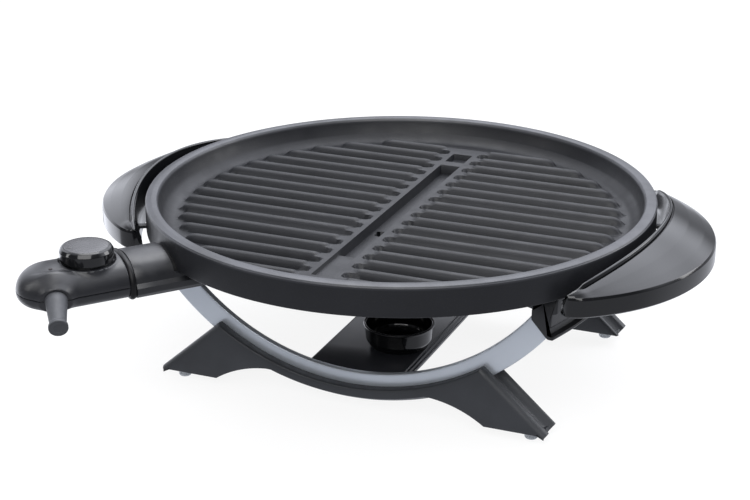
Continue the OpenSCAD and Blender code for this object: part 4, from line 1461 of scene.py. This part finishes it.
def cup_profile(b):
    """Drip cup with a rolled lip and a softly dished floor."""
    base = b.bridge_z
    rim = b.cup_r
    foot = b.cup_base_r
    top = base + b.cup_h
    return [(0, base + 0.5)] + rounded([
        (foot - 3.5, base + 0.5, 0.3), (foot - 2.5, base, 0.3), (foot, base, 0.6), (foot + 4.5, base + 2.0, 5.0),
        (rim - 1.9, base + 7.5, 4.0), (rim - 1.2, top - 2.4, 0.8), (rim - 0.1, top - 2.0, 0.4),
        (rim, top - 0.9, 0.7), (rim - 0.8, top, 0.7), (rim - 2.2, top - 0.6, 0.8), (rim - 3.4, base + 8.0, 4.0),
        (foot + 4.0, base + 3.4, 5.0), (foot - 5.0, base + 1.7, 3.0)
    ], steps=6, closed=False) + [(0, base + 1.6)]


class GRILL_OT_cup(bpy.types.Operator):
    """Loose drip cup"""

    bl_idname = "grill.cup"
    bl_label = "Drip cup"

    def execute(self, context):
        b = in_mm(context, "grill_base_sizes")
        low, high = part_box("drip_cup")
        centre = ((low[0] + high[0]) / 2 / MM, (low[1] + high[1]) / 2 / MM)
        part = turned(cup_profile(b), context.scene.grill_studio.round_steps, centre)
        add_piece("fat_cup", part, "gloss", "cup", ["drip_cup"], crease=40)
        return {"FINISHED"}


# Frame nodes that keep their shape

KEPT_NODES = {
    "heating_element": "heater",
    "element_clamps": "aluminium",
    "probe_socket": "aluminium",
    "clamp_screws": "zinc",
    "terminal_pins": "zinc",
    "handle_pegs": "peg",
    "probe_rod": "zinc",
    "controller_screws": "zinc",
    "knob_spindle": "zinc",
    "bridge_screws": "zinc",
    "arch_screws": "zinc",
    "plug_nose": "collar",
    "contact_sockets": "brass",
    "thermostat_switch": "steatite",
    "terminal_block": "steatite",
    "indicator_lamp": "lens",
}


class GRILL_OT_hardware(bpy.types.Operator):
    """Finishes of the frame's own nodes"""

    bl_idname = "grill.hardware"
    bl_label = "Hardware"

    def execute(self, context):
        for node, finish in KEPT_NODES.items():
            dress_node(node, finish)
        return {"FINISHED"}


# Stage

DARK_STUDIO_LIGHT = 0.16
SKY_COLOUR = (0.95, 0.975, 1.06, 1.0)
FLOOR_GLOW = 0.88
FLOOR_RADIUS = 6000
FLOOR_DROP = 0.3
SOFTBOXES = {
    "front_softbox": ((0.4, -1.6, 1.7), (0, 0, 0.1), 2.0, 2.0, 44),
    "overhead_softbox": ((-0.3, 0.2, 1.5), (0, 0, 0.1), 0.9, 0.9, 9),
    "right_softbox": ((1.5, 1.1, 0.75), (0.2, 0, 0.12), 0.8, 0.8, 9),
    "left_softbox": ((-1.3, -0.9, 0.8), (0, 0, 0.1), 0.25, 0.7, 3),
}


def lobe(tree, axis_value, low, high, low_value, high_value):
    """A smooth rise of light along one direction of the sky."""
    return map_range(tree, axis_value, low, high, low_value, high_value, "SMOOTHSTEP")


def combine(tree, operation, first, second):
    """Two values combined; the second may be a plain number."""
    node = tree.nodes.new("ShaderNodeMath")
    node.operation = operation
    tree.links.new(first, node.inputs[0])
    if isinstance(second, float):
        node.inputs[1].default_value = second
    else:
        tree.links.new(second, node.inputs[1])
    return node.outputs["Value"]


def studio_world(strength):
    """Sky of a dark studio: a pale screen behind the grill, soft light above and a wing on the left."""
    world = bpy.data.worlds.new("studio_sky")
    world.use_nodes = True
    tree = world.node_tree
    background = tree.nodes["Background"]
    split = tree.nodes.new("ShaderNodeSeparateXYZ")
    tree.links.new(tree.nodes.new("ShaderNodeTexCoord").outputs["Generated"], split.inputs["Vector"])
    x, y, z = (split.outputs[name] for name in "XYZ")

    behind = lobe(tree, y, -0.1, 0.45, 0.0, 1.0)
    off_left = lobe(tree, x, -0.55, -0.37, 0.15, 1.0)
    raised = lobe(tree, z, 0.16, 0.42, 0.25, 2.1)
    screen = combine(tree, "MULTIPLY", combine(tree, "MULTIPLY", behind, off_left), raised)
    far_left = lobe(tree, x, -0.56, -0.7, 0.0, 1.5)
    wing = combine(tree, "MULTIPLY", lobe(tree, y, 0.0, 0.3, 0.0, 1.0), far_left)
    high = lobe(tree, z, 0.5, 0.72, 0.0, 1.3)
    above = combine(tree, "MULTIPLY", high, lobe(tree, y, -0.2, 0.4, 0.35, 1.0))
    ground = lobe(tree, z, -0.02, -0.2, 0.0, 0.45)

    light = combine(tree, "ADD", screen, DARK_STUDIO_LIGHT)
    for part in (above, ground, wing):
        light = combine(tree, "ADD", light, part)
    tree.links.new(combine(tree, "MULTIPLY", light, strength), background.inputs["Strength"])
    background.inputs["Color"].default_value = SKY_COLOUR
    bpy.context.scene.world = world


def softbox(name, place, target, width, height, power):
    """A rectangular area light aimed at a point."""
    lamp = bpy.data.lights.new(name, "AREA")
    lamp.shape = "RECTANGLE"
    lamp.size = width
    lamp.size_y = height
    lamp.energy = power
    holder = bpy.data.objects.new(name, lamp)
    holder.location = place
    aim = Vector(target) - Vector(place)
    holder.rotation_euler = aim.to_track_quat("-Z", "Y").to_euler()
    bpy.context.scene.collection.objects.link(holder)


def floor_material(base):
    """Pale sweep that looks evenly lit, with only a faint shadow."""
    finish = Finish("studio_floor", base, 0.7).having("Specular IOR Level", 0.0)
    finish.having("Emission Color", (1.0, 1.0, 1.0, 1.0)).having("Emission Strength", FLOOR_GLOW)
    return finish.clouds(3, 2, shade(base, 0.985), 0.3).material


def studio_camera(studio):
    """The photograph's camera."""
    lens = bpy.data.cameras.new("photo_camera")
    lens.sensor_width = 36.0
    lens.lens = studio.lens
    lens.clip_end = 20.0
    camera = bpy.data.objects.new("photo_camera", lens)
    camera.location = (studio.camera_x, studio.camera_y, studio.camera_z)
    camera.rotation_euler = (studio.tilt, 0.0, studio.turn)
    return camera


class GRILL_OT_stage(bpy.types.Operator):
    """Camera, floor and studio light"""

    bl_idname = "grill.stage"
    bl_label = "Stage"

    def execute(self, context):
        studio = context.scene.grill_studio
        camera = studio_camera(studio)
        context.scene.collection.objects.link(camera)
        context.scene.camera = camera

        ring = [(x, y, -FLOOR_DROP) for x, y in arc(0, 0, FLOOR_RADIUS, 0, 350, 35)]
        floor = bpy.data.objects.new("studio_floor", make_mesh("studio_floor", (ring, [tuple(range(len(ring)))])))
        floor.data.materials.append(floor_material(context.scene.grill_colours.floor))
        context.scene.collection.objects.link(floor)
        floor.visible_glossy = False
        floor.visible_diffuse = False

        studio_world(studio.sky)
        for name, settings in SOFTBOXES.items():
            softbox(name, *settings)
        context.scene.view_settings.view_transform = "Standard"
        return {"FINISHED"}


OPERATORS = (
    GRILL_OT_stage, GRILL_OT_plate, GRILL_OT_handles, GRILL_OT_shroud, GRILL_OT_housing, GRILL_OT_knob,
    GRILL_OT_sleeve, GRILL_OT_arches, GRILL_OT_rails, GRILL_OT_legs, GRILL_OT_bridge, GRILL_OT_feet,
    GRILL_OT_cup, GRILL_OT_hardware,
)


class GRILL_PT_sidebar(bpy.types.Panel):
    """Sidebar panel that lists the grill's pieces and sizes"""

    bl_idname = "GRILL_PT_sidebar"
    bl_label = "Tabletop Grill"
    bl_space_type = "VIEW_3D"
    bl_region_type = "UI"
    bl_category = "Grill"

    def draw(self, context):
        for operator in OPERATORS:
            self.layout.operator(operator.bl_idname, text=operator.bl_label)
        for group_name, group_class in GROUPS.items():
            box = self.layout.box()
            box.label(text=group_class.__doc__)
            for key in group_class.__annotations__:
                box.prop(getattr(context.scene, group_name), key)


def register():
    for group_name, group_class in GROUPS.items():
        bpy.utils.register_class(group_class)
        setattr(bpy.types.Scene, group_name, PointerProperty(type=group_class))
    for operator in OPERATORS:
        bpy.utils.register_class(operator)
    bpy.utils.register_class(GRILL_PT_sidebar)


def unregister():
    bpy.utils.unregister_class(GRILL_PT_sidebar)
    for operator in reversed(OPERATORS):
        bpy.utils.unregister_class(operator)
    for group_name, group_class in GROUPS.items():
        delattr(bpy.types.Scene, group_name)
        bpy.utils.unregister_class(group_class)


def main():
    register()
    for operator in OPERATORS:
        group, name = operator.bl_idname.split(".")
        getattr(getattr(bpy.ops, group), name)()


if __name__ == "__main__":
    main()
